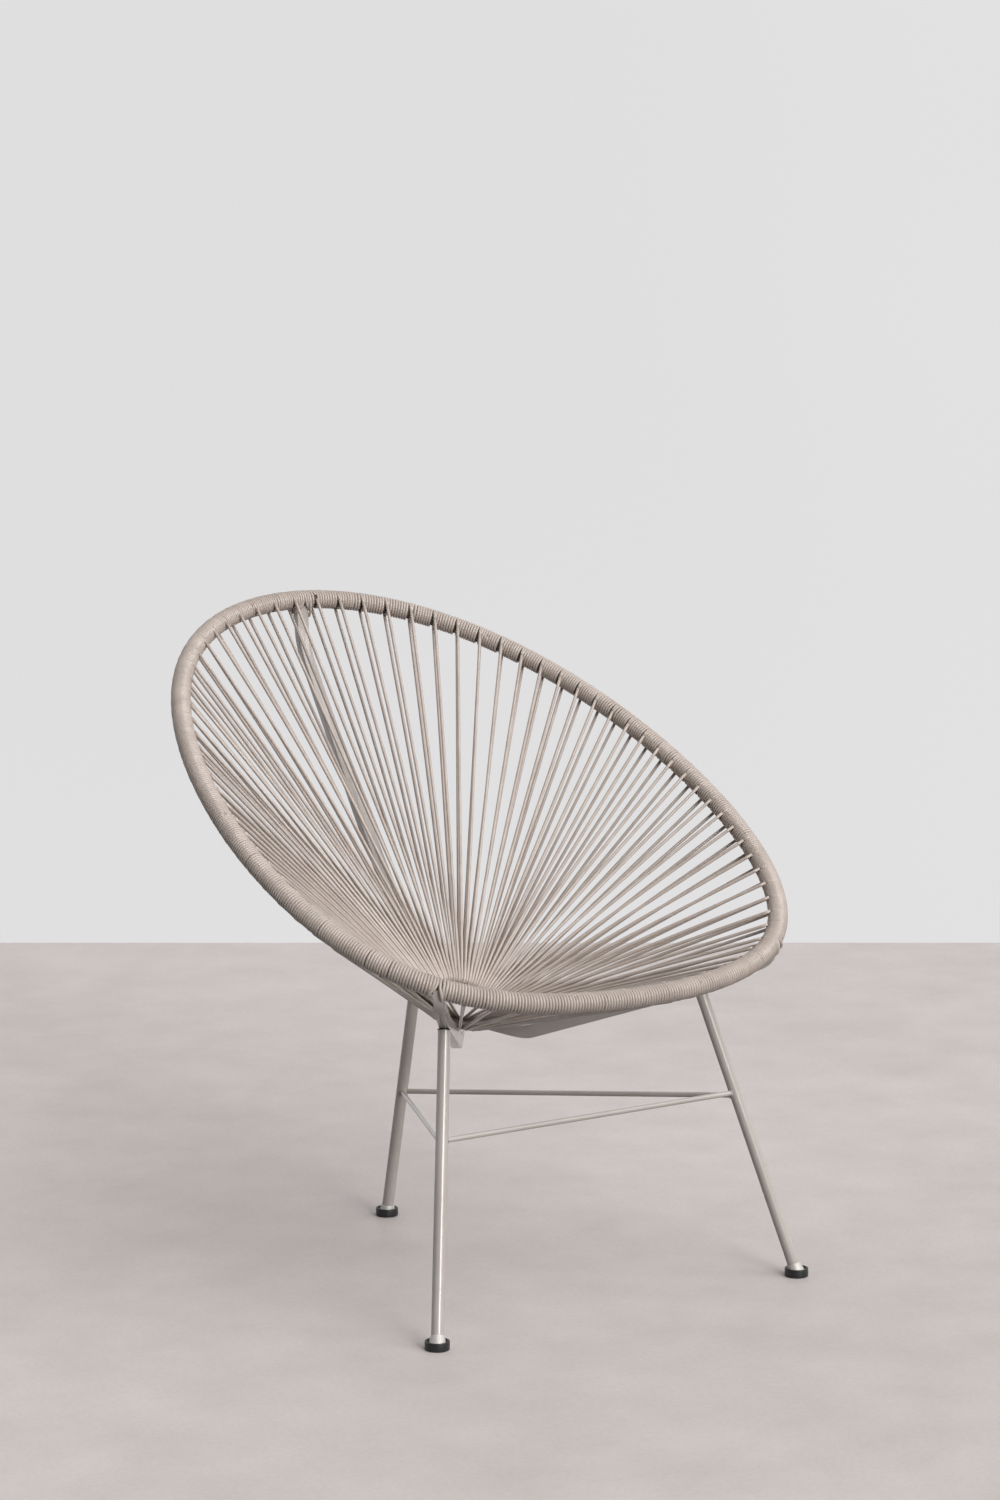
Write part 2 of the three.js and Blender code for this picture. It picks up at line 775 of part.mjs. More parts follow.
function stretcher(fromLeg, fromHeight, toLeg, toHeight) {
  const from = onAxis(legAxes[fromLeg], fromHeight);
  const to = onAxis(legAxes[toLeg], toHeight);
  const direction = to.clone().sub(from).normalize();
  const [first, second] = sideways(direction, up);
  const ring = (place) =>
    Array.from({ length: rodSides }, (none, side) => {
      const turn = (side / rodSides) * fullTurn;
      return along(place, [first, rodRadius * Math.cos(turn)], [second, rodRadius * Math.sin(turn)]);
    });
  const rod = loft([ring(from), ring(to)], false);
  const cutter = (legName, height) => {
    const axis = legAxes[legName];
    const low = onAxis(axis, height - cutOverrun);
    const high = onAxis(axis, height + cutOverrun);
    const reach = (legRadius + fitGap) / Math.cos(fullTurn / 2 / legSides);
    const circle = (place) =>
      roundInPlane(axis.foot, axis.direction, reach, legSides, place, axis.direction);
    return loft([circle(low), circle(high)], false);
  };
  return cutBy(rod, cutter(fromLeg, fromHeight), cutter(toLeg, toHeight));
}

// Assembly.
const group = new THREE.Group();

function addPiece(name, geometry, finish) {
  const mesh = new THREE.Mesh(geometry, new THREE.MeshStandardMaterial(finish));
  mesh.name = name;
  group.add(mesh);
}

const twoDigits = (number) => String(number).padStart(2, '0');

addPiece('rim_tube', rimBody(rimTubeRadius), paintFinish);
addPiece('seat_ring', seatRing(), paintFinish);
addPiece('back_spine', backSpine(), paintFinish);
addPiece('front_arm_left', frontArm(-1), paintFinish);
addPiece('front_arm_right', frontArm(1), paintFinish);

const notches = [barNotch(spinePath().slice(0, 2), across, spineWidth, spineDepth)];
for (const side of [-1, 1]) {
  const { path } = armPath(side);
  notches.push(barNotch(path.slice(0, armBendSteps + 2), levelWidth(path)[0], armWidth, armDepth));
}
for (let sector = 0; sector < windingSectors; sector++) {
  addPiece(`rim_winding_${twoDigits(sector + 1)}`, cutBy(windingSleeve(sector), ...notches), cordFinish);
}
for (let sector = 0; sector < netSectors; sector++) {
  addPiece(`net_${twoDigits(sector + 1)}`, netSector(sector), cordFinish);
}
for (const legName of Object.keys(legAxes)) {
  addPiece(`leg_${legName}`, legTube(legName), paintFinish);
  addPiece(`leg_spacer_${legName}`, legSpacer(legName), spacerFinish);
  addPiece(`foot_collar_${legName}`, footCollar(legName), collarFinish);
  addPiece(`foot_cup_${legName}`, footCup(legName), cupFinish);
}
addPiece('stretcher_front', stretcher('front_left', frontRodHeight, 'front_right', frontRodHeight), paintFinish);
addPiece('stretcher_left', stretcher('front_left', frontRodHeight, 'rear', rearRodHeight), paintFinish);
addPiece('stretcher_right', stretcher('front_right', frontRodHeight, 'rear', rearRodHeight), paintFinish);

// The origin is under the middle of the chair's box, on the floor.
const box = new THREE.Box3().setFromObject(group);
const middle = box.getCenter(new THREE.Vector3());
for (const mesh of group.children) mesh.geometry.translate(-middle.x, -middle.y, -box.min.z);

// Least gap between neighbouring turns of the helix, crest line to crest line less one ridge foot.
let leastPitch = Infinity;
for (let sector = 0; sector < windingSectors; sector++) {
  const pitch = 1 / windingSectors / turnsPerSector;
  const share = sector / windingSectors;
  for (let side = 0; side < rimSides; side++) {
    const here = rimRingPoint(share, side, woundRadius);
    const next = rimRingPoint(share + pitch, side, woundRadius);
    leastPitch = Math.min(leastPitch, here.distanceTo(next));
  }
}
console.log(`least crest spacing of the winding ${leastPitch.toFixed(1)} mm, over 0.4 mm`);

let triangles = 0;
let formTriangles = 0;
for (const mesh of group.children) {
  const geometry = mesh.geometry;
  const count = (geometry.index ? geometry.index.count : geometry.getAttribute('position').count) / 3;
  triangles += count;
  if (/^(rim_winding|net)/.test(mesh.name)) formTriangles += count;
}
console.log(`${group.children.length} nodes, ${triangles} triangles, ${formTriangles} of them forms`);

export default group;
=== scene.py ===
"""Corded lounge chair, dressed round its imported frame. Metres, +Z up, the seat opens towards -Y."""

import math
from contextlib import contextmanager

import bpy
import numpy as np
from mathutils import Matrix, Vector


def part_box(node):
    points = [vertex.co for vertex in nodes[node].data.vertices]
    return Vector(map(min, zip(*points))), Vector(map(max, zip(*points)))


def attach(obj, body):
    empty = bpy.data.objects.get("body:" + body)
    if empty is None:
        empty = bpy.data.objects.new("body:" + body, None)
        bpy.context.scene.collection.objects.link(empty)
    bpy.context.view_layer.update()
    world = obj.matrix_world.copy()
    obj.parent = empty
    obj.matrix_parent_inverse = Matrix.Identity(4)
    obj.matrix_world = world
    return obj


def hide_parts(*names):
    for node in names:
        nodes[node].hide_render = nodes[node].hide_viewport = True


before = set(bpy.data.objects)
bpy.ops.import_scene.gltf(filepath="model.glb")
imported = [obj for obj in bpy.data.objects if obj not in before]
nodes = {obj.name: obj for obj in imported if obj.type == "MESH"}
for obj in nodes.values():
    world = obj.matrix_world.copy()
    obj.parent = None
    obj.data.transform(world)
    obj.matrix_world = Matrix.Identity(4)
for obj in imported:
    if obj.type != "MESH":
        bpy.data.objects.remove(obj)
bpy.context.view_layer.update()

bl_info = {
    "name": "Corded Lounge Chair",
    "version": (1, 0, 0),
    "blender": (4, 5, 0),
    "location": "View3D > Sidebar > Chair",
    "description": "Dresses the packed frame of a corded lounge chair",
    "category": "Object",
}

FULL_TURN = 2 * math.pi
SPINE = "back_spine"
ARMS = ("front_arm_left", "front_arm_right")
LEGS = ("front_left", "front_right", "rear")
UP = np.array([0.0, 0.0, 1.0])
ACROSS = np.array([1.0, 0.0, 0.0])


# Sizes and colours that a user would change.


def length(name, description, default):
    return bpy.props.FloatProperty(
        name=name, description=description, default=default, subtype="DISTANCE", unit="LENGTH", precision=5
    )


def angle(name, description, degrees):
    return bpy.props.FloatProperty(
        name=name, description=description, default=math.radians(degrees), subtype="ANGLE", unit="ROTATION"
    )


def angles(name, description, *degrees):
    default = [math.radians(part) for part in degrees]
    return bpy.props.FloatVectorProperty(
        name=name, description=description, default=default, size=len(default), unit="ROTATION"
    )


def amount(name, description, default):
    return bpy.props.FloatProperty(name=name, description=description, default=default, precision=4)


def amounts(name, description, *default):
    return bpy.props.FloatVectorProperty(
        name=name, description=description, default=default, size=len(default), precision=4
    )


def camera_length(name, description, default):
    """A length of the camera, in millimetres."""
    return bpy.props.FloatProperty(
        name=name, description=description, default=default, subtype="DISTANCE_CAMERA", unit="CAMERA"
    )


def count(name, description, default):
    return bpy.props.IntProperty(name=name, description=description, default=default, min=1)


def colour(name, description, red, green, blue):
    """A colour from display values of 0 to 255."""

    def linear(value):
        value /= 255
        return value / 12.92 if value <= 0.04045 else ((value + 0.055) / 1.055) ** 2.4

    default = (linear(red), linear(green), linear(blue))
    return bpy.props.FloatVectorProperty(
        name=name, description=description, default=default, subtype="COLOR", size=3, min=0, max=1
    )


class CHAIR_PG_rim(bpy.types.PropertyGroup):
    """The egg-shaped hoop that the cord is wound on."""

    half_width: length("Half width", "Half the width of the hoop's centre line", 0.3743)
    half_length: length("Half length", "Half the length of the hoop's centre line", 0.4747)
    back_draw: length("Back draw", "How far the back is drawn out to the egg shape", 0.0413)
    end_blunting: length("End blunting", "How much both ends are blunted", 0.0156)
    tilt: angle("Tilt", "How far the back is tilted up", 28.46)
    centre_height: length("Centre height", "Height of the hoop's centre over the floor", 0.610)
    tube_radius: length("Tube radius", "Radius of the hoop's tube", 0.010)


class CHAIR_PG_seat_ring(bpy.types.PropertyGroup):
    """The small ring at the bottom of the bowl."""

    radius: length("Radius", "Radius of the ring's centre line", 0.050)
    rod_radius: length("Rod radius", "Radius of the ring's rod", 0.005)
    depth: length("Depth", "Distance of the ring under the hoop's plane", 0.2537)
    forward: length("Forward", "Distance of the ring forward of the hoop's centre", 0.1027)


class CHAIR_PG_cord(bpy.types.PropertyGroup):
    """The one long cord of the winding and the net."""

    diameter: length("Diameter", "Diameter of the cord where it is wound tight", 0.0040)
    strand_diameter: length("Strand diameter", "Diameter of the cord between the hoop and the ring", 0.0045)
    pitch: length("Turn pitch", "Usual distance between neighbouring turns on the hoop", 0.0039)
    stations: count("Stations", "Places round the hoop where the cord crosses to the ring and back", 78)
    crowding: amount("Crowding", "How much closer the stations stand at the sides than at the ends", 0.068)
    first_station: amount("First station", "Place of the first station, in stations from the rear", 0.525)
    steps: count("Steps a turn", "Points of the cord on each turn", 14)
    sides: count("Sides", "Sides of the cord's section", 8)
    slackness: length("Slackness", "How unevenly the turns lie", 0.00014)
    loose_turn: length("Loose turn", "How far the slack turn beside the spine hangs off the hoop", 0.017)
    tint: colour("Tint", "Colour of the cord", 190, 177, 168)
    shade: colour("Shade", "Darker tone of the cord", 178, 165, 156)


class CHAIR_PG_frame(bpy.types.PropertyGroup):
    """Painted bars, legs and rods."""

    spine_width: length("Spine width", "Width of the spine's bar, across the chair", 0.0175)
    spine_depth: length("Spine depth", "Depth of the spine's bar", 0.012)
    arm_width: length("Arm width", "Width of an arm's bar", 0.0125)
    arm_depth: length("Arm depth", "Depth of an arm's bar", 0.018)
    spine_edge: length("Spine edge", "Radius of the spine's long edges", 0.0016)
    arm_edge: length("Arm edge", "Radius of the arms' long edges", 0.0030)
    arm_end_lift: length("Arm end lift", "How much thinner the arms' ends are on their underside", 0.0045)
    knee_reach: length("Knee reach", "How far from an arm's lowest edge its bend is eased", 0.022)
    knee_length: length("Knee length", "Length over which that bend is eased", 0.014)
    bend_length: length("Bend length", "Length over which a bend of the spine is eased", 0.028)
    leg_radius: length("Leg radius", "Radius of the leg tubes", 0.008)
    rod_radius: length("Rod radius", "Radius of the stretcher rods", 0.0035)
    weld_radius: length("Weld radius", "Thickness of the weld beads", 0.0011)
    paint: colour("Paint", "Colour of the paint", 186, 177, 172)
    paint_shade: colour("Paint shade", "Darker tone of the paint", 178, 169, 163)
    # The hoop's tube is given this dark colour as painted shade, for the shadowed gaps between the turns.
    painted_gap_shade: colour("Hidden tube", "Colour of the hoop's tube between the turns", 92, 84, 78)


class CHAIR_PG_feet(bpy.types.PropertyGroup):
    """Cups and collars at the feet."""

    cup_radius: length("Cup radius", "Outer radius of a cup", 0.01555)
    cup_height: length("Cup height", "Height of a cup", 0.011)
    cup_wall: length("Cup wall", "Wall of a cup", 0.0032)
    cup_floor: length("Cup floor", "Thickness of a cup's floor", 0.004)
    cup_lip: length("Cup lip", "Radius of the edges of a cup's mouth", 0.0008)
    cup_foot: length("Cup foot", "Radius of a cup's edge on the floor", 0.0010)
    collar_foot: length("Collar foot", "Radius of a collar at its foot", 0.0116)
    collar_top: length("Collar top", "Radius of a collar at its top", 0.0086)
    collar_length: length("Collar length", "Length of a collar", 0.013)
    collar_lip: length("Collar lip", "Radius of the edges of a collar's mouth", 0.0003)
    collar_recess: length("Collar recess", "Depth of the recess between a collar and its leg", 0.002)
    cup_colour: colour("Cup colour", "Colour of the cups", 34, 35, 36)
    collar_colour: colour("Collar colour", "Colour of the collars", 208, 203, 198)
    spacer_colour: colour("Spacer colour", "Colour of the discs on the legs", 38, 37, 37)


class CHAIR_PG_stage(bpy.types.PropertyGroup):
    """Floor, backdrop, lamps and camera."""

    lens: camera_length("Lens", "Focal length of the camera", 84.0)
    picture_height: camera_length("Picture height", "Height of the camera's picture at that length", 36.0)
    camera_place: bpy.props.FloatVectorProperty(
        name="Camera place",
        description="Where the camera stands",
        default=(-2.566, -3.850, 1.303),
        subtype="XYZ",
        unit="LENGTH",
    )
    camera_turn: angle("Camera turn", "Heading of the camera, from +Y towards +X", 34.38)
    camera_dip: angle("Camera dip", "How far the camera looks down", 7.695)
    floor_width: length("Floor width", "Side of the square floor", 40.0)
    wall_width: length("Wall width", "Side of the square backdrop, which stands on the floor", 20.0)
    wall_distance: length("Wall distance", "Distance of the backdrop from the camera", 6.80)
    floor_colour: colour("Floor colour", "Colour of the floor", 210, 202, 199)
    floor_shade: colour("Floor shade", "Darker tone of the floor", 197, 188, 185)
    floor_return: amount("Floor return", "Share of its colour that the floor lights the chair with", 0.12)
    wall_colour: colour("Wall colour", "Colour of the backdrop", 227, 226, 227)
    # Each of these four is for the main lamp, the weak one behind the chair, and the one beside the camera.
    lamp_strengths: amounts("Lamp strengths", "How strong the three lamps are", 2.35, 0.3, 1.25)
    lamp_spreads: angles("Lamp spreads", "How wide they are, seen from the chair", 65.0, 60.0, 22.0)
    lamp_sides: angles("Lamp sides", "How far right of the camera, or left below 0", 55.0, -105.0, 30.0)
    lamp_rises: angles("Lamp rises", "How high they stand", 45.0, 32.0, 18.0)
    lamp_distance: length("Lamp distance", "How far the lamps stand from the chair", 4.0)
    lit_height: length("Lit height", "Height of the place on the chair that the lamps point at", 0.45)
    sky: amount("Sky", "Strength of the even light from all round", 0.16)


SETTINGS = {
    "chair_rim": CHAIR_PG_rim,
    "chair_seat_ring": CHAIR_PG_seat_ring,
    "chair_cord": CHAIR_PG_cord,
    "chair_frame": CHAIR_PG_frame,
    "chair_feet": CHAIR_PG_feet,
    "chair_stage": CHAIR_PG_stage,
}


# Finishes.


class Value:
    """A number's socket in a finish, with the arithmetic that the finishes use."""

    def __init__(self, finish, socket):
        self.finish = finish
        self.socket = socket

    def math(self, operation, first, second, clamp=False):
        settings = {"operation": operation, "use_clamp": clamp}
        made = self.finish.node("ShaderNodeMath", settings, {0: first, 1: second})
        return Value(self.finish, made.outputs[0])

    def __add__(self, other):
        return self.math("ADD", self, other)

    __radd__ = __add__

    def __sub__(self, other):
        return self.math("SUBTRACT", self, other)

    def __rsub__(self, other):
        return self.math("SUBTRACT", other, self)

    def __mul__(self, other):
        return self.math("MULTIPLY", self, other)

    __rmul__ = __mul__

    def clamped(self):
        return self.math("ADD", self, 0.0, clamp=True)


class Finish:
    """One material: its shader and the nodes that feed it."""

    def __init__(self, name):
        self.material = bpy.data.materials.new(name)
        self.material.use_nodes = True
        self.tree = self.material.node_tree
        self.tree.nodes.clear()
        self.output = self.node("ShaderNodeOutputMaterial")
        self.place = self.node("ShaderNodeTexCoord").outputs["Object"]

    def node(self, kind, settings=None, inputs=None):
        made = self.tree.nodes.new(kind)
        for key, value in (settings or {}).items():
            setattr(made, key, value)
        for key, value in (inputs or {}).items():
            self.feed(made.inputs[key], value)
        return made

    def feed(self, socket, value):
        if isinstance(value, Value):
            value = value.socket
        if isinstance(value, bpy.types.NodeSocket):
            self.tree.links.new(value, socket)
        else:
            socket.default_value = value

    def noise(self, scale, detail=2.0, roughness=0.5, place=None):
        made = self.node(
            "ShaderNodeTexNoise",
            {},
            {"Vector": place or self.place, "Scale": scale, "Detail": detail, "Roughness": roughness},
        )
        return Value(self, made.outputs["Fac"])

    def stretched(self, scale):
        made = self.node("ShaderNodeMapping", {}, {"Vector": self.place, "Scale": scale})
        return made.outputs["Vector"]

    def band(self, value, low, high):
        """0 to 1 over a band of a value."""
        made = self.node(
            "ShaderNodeMapRange",
            {"clamp": True},
            {"Value": value, "From Min": low, "From Max": high, "To Min": 0.0, "To Max": 1.0},
        )
        return Value(self, made.outputs["Result"])

    def mix(self, factor, first, second):
        made = self.node("ShaderNodeMix", {"data_type": "RGBA"})
        self.feed(made.inputs["Factor"], factor)
        colours = [socket for socket in made.inputs if socket.type == "RGBA"]
        self.feed(colours[0], opaque(first))
        self.feed(colours[1], opaque(second))
        return next(socket for socket in made.outputs if socket.type == "RGBA")

    def grain(self, scale, detail, strength, depth=0.0002):
        """A fine unevenness of the face, which needs no mesh of its own."""
        fine = self.noise(scale=scale, detail=detail)
        made = self.node("ShaderNodeBump", {}, {"Height": fine, "Strength": strength, "Distance": depth})
        return made.outputs["Normal"]

    def seen_rays(self):
        """1 for what is seen straight, in gloss or through something clear, and 0 for other light."""
        rays = self.node("ShaderNodeLightPath").outputs
        seen = Value(self, rays["Is Camera Ray"]) + Value(self, rays["Is Glossy Ray"])
        return (seen + Value(self, rays["Is Transmission Ray"])).clamped()

    def shader(self, **sockets):
        made = self.node("ShaderNodeBsdfPrincipled")
        for key, value in sockets.items():
            self.feed(made.inputs[key.replace("_", " ")], value)
        self.feed(self.output.inputs["Surface"], made.outputs[0])


def opaque(value):
    """A colour's four numbers, or its socket as it is."""
    if isinstance(value, bpy.types.NodeSocket):
        return value
    return (value[0], value[1], value[2], 1.0)


def darker(tint, share_left):
    """A colour brought down to a share of itself."""
    return tuple(share_left * part for part in tint)


def cord_finish(cord):
    finish = Finish("taupe_cord")
    cloud = finish.noise(scale=38.0, detail=3.0)
    finish.shader(
        Base_Color=finish.mix(finish.band(cloud, 0.35, 0.65), cord.tint, cord.shade),
        Roughness=0.20 + 0.08 * cloud,
        Specular_IOR_Level=0.6,
        Normal=finish.grain(scale=900.0, detail=2.0, strength=0.10),
    )
    return finish.material


def paint_finish(settings):
    finish = Finish("taupe_paint")
    cloud = finish.noise(scale=14.0, detail=3.0)
    finish.shader(
        Base_Color=finish.mix(finish.band(cloud, 0.35, 0.65), settings.paint, settings.paint_shade),
        Roughness=0.20 + 0.08 * cloud,
        Specular_IOR_Level=0.5,
        Coat_Weight=0.6,
        Coat_Roughness=0.14,
        Normal=finish.grain(scale=1400.0, detail=1.0, strength=0.06),
    )
    return finish.material


def mottled(finish, cloud, tint, share_left, low, rise, **sockets):
    """A material with clouds from a colour to a share of it, and from a low roughness up by a rise."""
    tone = finish.mix(cloud, tint, darker(tint, share_left))
    finish.shader(Base_Color=tone, Roughness=low + rise * cloud, **sockets)
    return finish.material


def hoop_finish(settings):
    """The tube under the winding, darkened as painted shade for the shadowed gaps between the turns."""
    finish = Finish("shaded_tube")
    cloud = finish.noise(scale=60.0, detail=2.0)
    return mottled(finish, cloud, settings.painted_gap_shade, share_left=0.8, low=0.55, rise=0.10)


def cup_finish(feet):
    finish = Finish("black_cup")
    cloud = finish.noise(scale=240.0, detail=3.0)
    grain = finish.grain(scale=1800.0, detail=2.0, strength=0.1)
    return mottled(finish, cloud, feet.cup_colour, share_left=0.6, low=0.32, rise=0.16, Normal=grain)


def spacer_finish(feet):
    finish = Finish("black_disc")
    cloud = finish.noise(scale=300.0, detail=2.0)
    return mottled(finish, cloud, feet.spacer_colour, share_left=0.7, low=0.55, rise=0.15)


def collar_finish(feet):
    finish = Finish("bare_collar")
    brushed = finish.noise(scale=1.0, detail=3.0, place=finish.stretched((260.0, 260.0, 3000.0)))
    return mottled(finish, brushed, feet.collar_colour, share_left=0.85, low=0.42, rise=0.16, Metallic=0.35)


def floor_finish(stage):
    """A pale floor to the camera and in gloss, which throws only a little light back up."""
    finish = Finish("pale_floor")
    wide = finish.noise(scale=0.9, detail=4.0, roughness=0.55)
    patch = finish.noise(scale=7.0, detail=6.0, roughness=0.65)
    grain = finish.noise(scale=150.0, detail=3.0, roughness=0.6)
    tone = (0.30 * wide + 0.40 * patch + 0.30 * grain).clamped()
    pale = finish.mix(finish.band(tone, 0.38, 0.62), stage.floor_colour, stage.floor_shade)
    dim = darker(stage.floor_shade, stage.floor_return)
    unseen = 1 - finish.seen_rays()
    finish.shader(
        Base_Color=finish.mix(unseen, pale, dim),
        Roughness=0.42 + 0.16 * patch,
        Specular_IOR_Level=0.30,
    )
    return finish.material


def wall_finish(stage):
    """A plain backdrop, which is seen in its own colour, whatever light falls on it."""
    finish = Finish("pale_wall")
    seen = finish.seen_rays()
    cloud = finish.noise(scale=0.35, detail=2.0)
    tone = finish.mix(finish.band(cloud, 0.3, 0.7), stage.wall_colour, darker(stage.wall_colour, 0.965))
    plain = finish.node("ShaderNodeBsdfDiffuse", {}, {"Color": tone})
    glow = finish.node("ShaderNodeEmission", {}, {"Color": tone, "Strength": 1.0})
    both = finish.node("ShaderNodeMixShader", {}, {0: seen, 1: plain.outputs[0], 2: glow.outputs[0]})
    finish.feed(finish.output.inputs["Surface"], both.outputs[0])
    return finish.material


finishes = {}


def finish_of(context, name):
    """The material of a finish, made the first time it is asked for."""
    makers = {
        "cord": (cord_finish, "chair_cord"),
        "paint": (paint_finish, "chair_frame"),
        "hoop": (hoop_finish, "chair_frame"),
        "cup": (cup_finish, "chair_feet"),
        "spacer": (spacer_finish, "chair_feet"),
        "collar": (collar_finish, "chair_feet"),
        "floor": (floor_finish, "chair_stage"),
        "wall": (wall_finish, "chair_stage"),
    }
    if name not in finishes:
        maker, settings = makers[name]
        finishes[name] = maker(getattr(context.scene, settings))
    return finishes[name]


# Modelling helpers.


def deselect_all():
    if bpy.context.object and bpy.context.object.mode != "OBJECT":
        bpy.ops.object.mode_set(mode="OBJECT")
    bpy.ops.object.select_all(action="DESELECT")


def only(piece):
    deselect_all()
    piece.select_set(True)
    bpy.context.view_layer.objects.active = piece


def settle(piece):
    """Puts the object at the origin, unturned and unscaled, with its place in its mesh."""
    only(piece)
    bpy.ops.object.transform_apply(location=True, rotation=True, scale=True)


@contextmanager
def whole_mesh(piece):
    """Edit mode, with all of a piece's mesh selected."""
    only(piece)
    bpy.ops.object.mode_set(mode="EDIT")
    bpy.ops.mesh.select_mode(type="VERT")
    bpy.ops.mesh.select_all(action="SELECT")
    yield
    bpy.ops.object.mode_set(mode="OBJECT")


def outward(piece):
    with whole_mesh(piece):
        bpy.ops.mesh.normals_make_consistent(inside=False)


def trimmed(piece, place, normal):
    """Cuts off what lies past a plane, and closes the cut."""
    with whole_mesh(piece):
        bpy.ops.mesh.bisect(plane_co=tuple(place), plane_no=tuple(normal), use_fill=True, clear_outer=True)


def smooth(piece, degrees=40.0):
    """Shades faces that lie within some degrees as one round face."""
    only(piece)
    bpy.ops.object.shade_smooth_by_angle(angle=math.radians(degrees))


@contextmanager
def picked(piece, edges=None, faces=None):
    """Edit mode, with the edges or the faces selected that pass a test. Gives how many they are."""
    only(piece)
    bpy.ops.object.mode_set(mode="EDIT")
    bpy.ops.mesh.select_mode(type="EDGE" if edges else "FACE")
    bpy.ops.mesh.select_all(action="DESELECT")
    bpy.ops.object.mode_set(mode="OBJECT")
    test = edges or faces
    found = 0
    for part in piece.data.edges if edges else piece.data.polygons:
        part.select = bool(test(part))
        found += part.select
    bpy.ops.object.mode_set(mode="EDIT")
    yield found
    bpy.ops.object.mode_set(mode="OBJECT")


def finish_piece(context, piece, look, slot, *replaced):
    piece.data.materials.clear()
    piece.data.materials.append(finish_of(context, look))
    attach(piece, "root")
    if replaced:
        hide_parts(*replaced)


def turned_to(axis, place):
    """The matrix that puts +Z on an axis, at a place."""
    return Matrix.Translation(Vector(place)) @ Vector(axis).to_track_quat("Z", "Y").to_matrix().to_4x4()


def cad_points(name):
    """A CAD node's vertices in the row frame."""
    node = nodes[name]
    return np.array([node.matrix_world @ vertex.co for vertex in node.data.vertices])


def nodes_named(start):
    """The names of the CAD nodes of one kind, in order."""
    return sorted(name for name in nodes if name.startswith(start))


def unit(vectors):
    vectors = np.asarray(vectors, float)
    return vectors / np.linalg.norm(vectors, axis=-1, keepdims=True)


# Places on the chair.


class Layout:
    """The hoop, the ring and the places where the cord crosses, from the scene's settings."""

    # Points of the hoop for its length, and for its box.
    samples = 1440
    box_samples = 721

    def __init__(self, scene):
        self.rim = scene.chair_rim
        self.ring = scene.chair_seat_ring
        self.cord = scene.chair_cord
        tilt = self.rim.tilt
        self.lengthwise = np.array([0.0, math.cos(tilt), math.sin(tilt)])
        self.normal = np.array([0.0, -math.sin(tilt), math.cos(tilt)])
        self.centre = np.array([0.0, self.rim_centre_y(), self.rim.centre_height])
        self.ring_centre = self.centre - self.normal * self.ring.depth - self.lengthwise * self.ring.forward
        self.angles = np.linspace(0.0, FULL_TURN, self.samples + 1)
        points = self.on_hoop(self.angles)
        steps = np.linalg.norm(np.diff(points, axis=0), axis=1)
        self.run = np.concatenate([[0.0], np.cumsum(steps)])
        self.girth = self.run[-1]

    def rim_centre_y(self):
        """The hoop's centre lies so that the rim tube has the frame's box."""
        low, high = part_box("rim_tube")
        self.centre = np.zeros(3)
        reach = self.on_hoop(np.linspace(0.0, FULL_TURN, self.box_samples))[:, 1]
        return (low[1] + high[1]) / 2 - (reach.min() + reach.max()) / 2

    def on_hoop(self, turns):
        rim = self.rim
        run = (
            rim.half_length * np.cos(turns)
            + rim.back_draw * np.cos(2 * turns)
            - rim.end_blunting * np.cos(3 * turns)
        )
        sideways = rim.half_width * np.sin(turns)
        return self.centre + np.multiply.outer(sideways, ACROSS) + np.multiply.outer(run, self.lengthwise)

    def hoop(self, place):
        """Point and tangent of the hoop at a share of its length."""
        place = np.asarray(place, float)
        turns = np.interp((place % 1.0) * self.girth, self.run, self.angles)
        small = FULL_TURN / self.samples
        tangent = unit(self.on_hoop(turns + small) - self.on_hoop(turns - small))
        return self.on_hoop(turns), tangent

    def ring_outward(self, turns):
        return np.multiply.outer(np.sin(turns), ACROSS) + np.multiply.outer(np.cos(turns), self.lengthwise)

    def on_ring(self, turns):
        return self.ring_centre + self.ring.radius * self.ring_outward(turns)

    def crowded(self, share_of_turn):
        """The share of the hoop's length that a share of the whole turn falls on."""
        wave = np.sin(2 * FULL_TURN * share_of_turn) / (2 * FULL_TURN)
        return share_of_turn + self.cord.crowding * wave

    def crowding_rate(self, share_of_turn):
        return 1 + self.cord.crowding * np.cos(2 * FULL_TURN * share_of_turn)

    def section(self, share_of_turn):
        """Hoop point, tangent, and the section's directions: from the ring, and to the upper face."""
        share_of_turn = np.asarray(share_of_turn, float)
        point, tangent = self.hoop(self.crowded(share_of_turn))
        away = point - self.on_ring(FULL_TURN * share_of_turn)
        away = unit(away - tangent * (away * tangent).sum(-1, keepdims=True))
        upper = np.cross(away, tangent)
        upper = upper * np.sign((upper * self.normal).sum(-1, keepdims=True))
        return point, tangent, away, upper


class Bar:
    """Where a bar meets the hoop: its place, and the room that the turns leave it."""

    # The bar's top is the middle of its points this near the highest one.
    top_reach = 0.004
    # Its place is looked for at this many places of the hoop, of which the last ones count as the first.
    places = 2001
    whole_turn_share = 0.999
    # The turns leave this much beside it, and pass it over at most this share of the section's radius.
    clearance = 0.0004
    most_reach_share = 0.92

    def __init__(self, layout, name, width, depth, loose_turn=0.0):
        points = cad_points(name)
        top = points[points[:, 2] > points[:, 2].max() - self.top_reach].mean(axis=0)
        shares = np.linspace(0.0, 1.0, self.places)
        hoop, _ = layout.hoop(layout.crowded(shares))
        off = np.linalg.norm((hoop - top)[:, :2], axis=1)
        self.turn_share = shares[off.argmin()]
        if self.turn_share > self.whole_turn_share:
            self.turn_share = 0.0
        cord = layout.cord
        self.half_room = width / 2 + cord.diameter / 2 + self.clearance
        _, _, away, upper = layout.section(self.turn_share)
        self.heading = math.atan2(-UP @ upper, -UP @ away)
        self.loose_turn = loose_turn
        reach_share = (depth + cord.diameter) / 2 / (layout.rim.tube_radius + cord.diameter / 2)
        self.full_angle = math.asin(min(reach_share, self.most_reach_share))


# The cord.


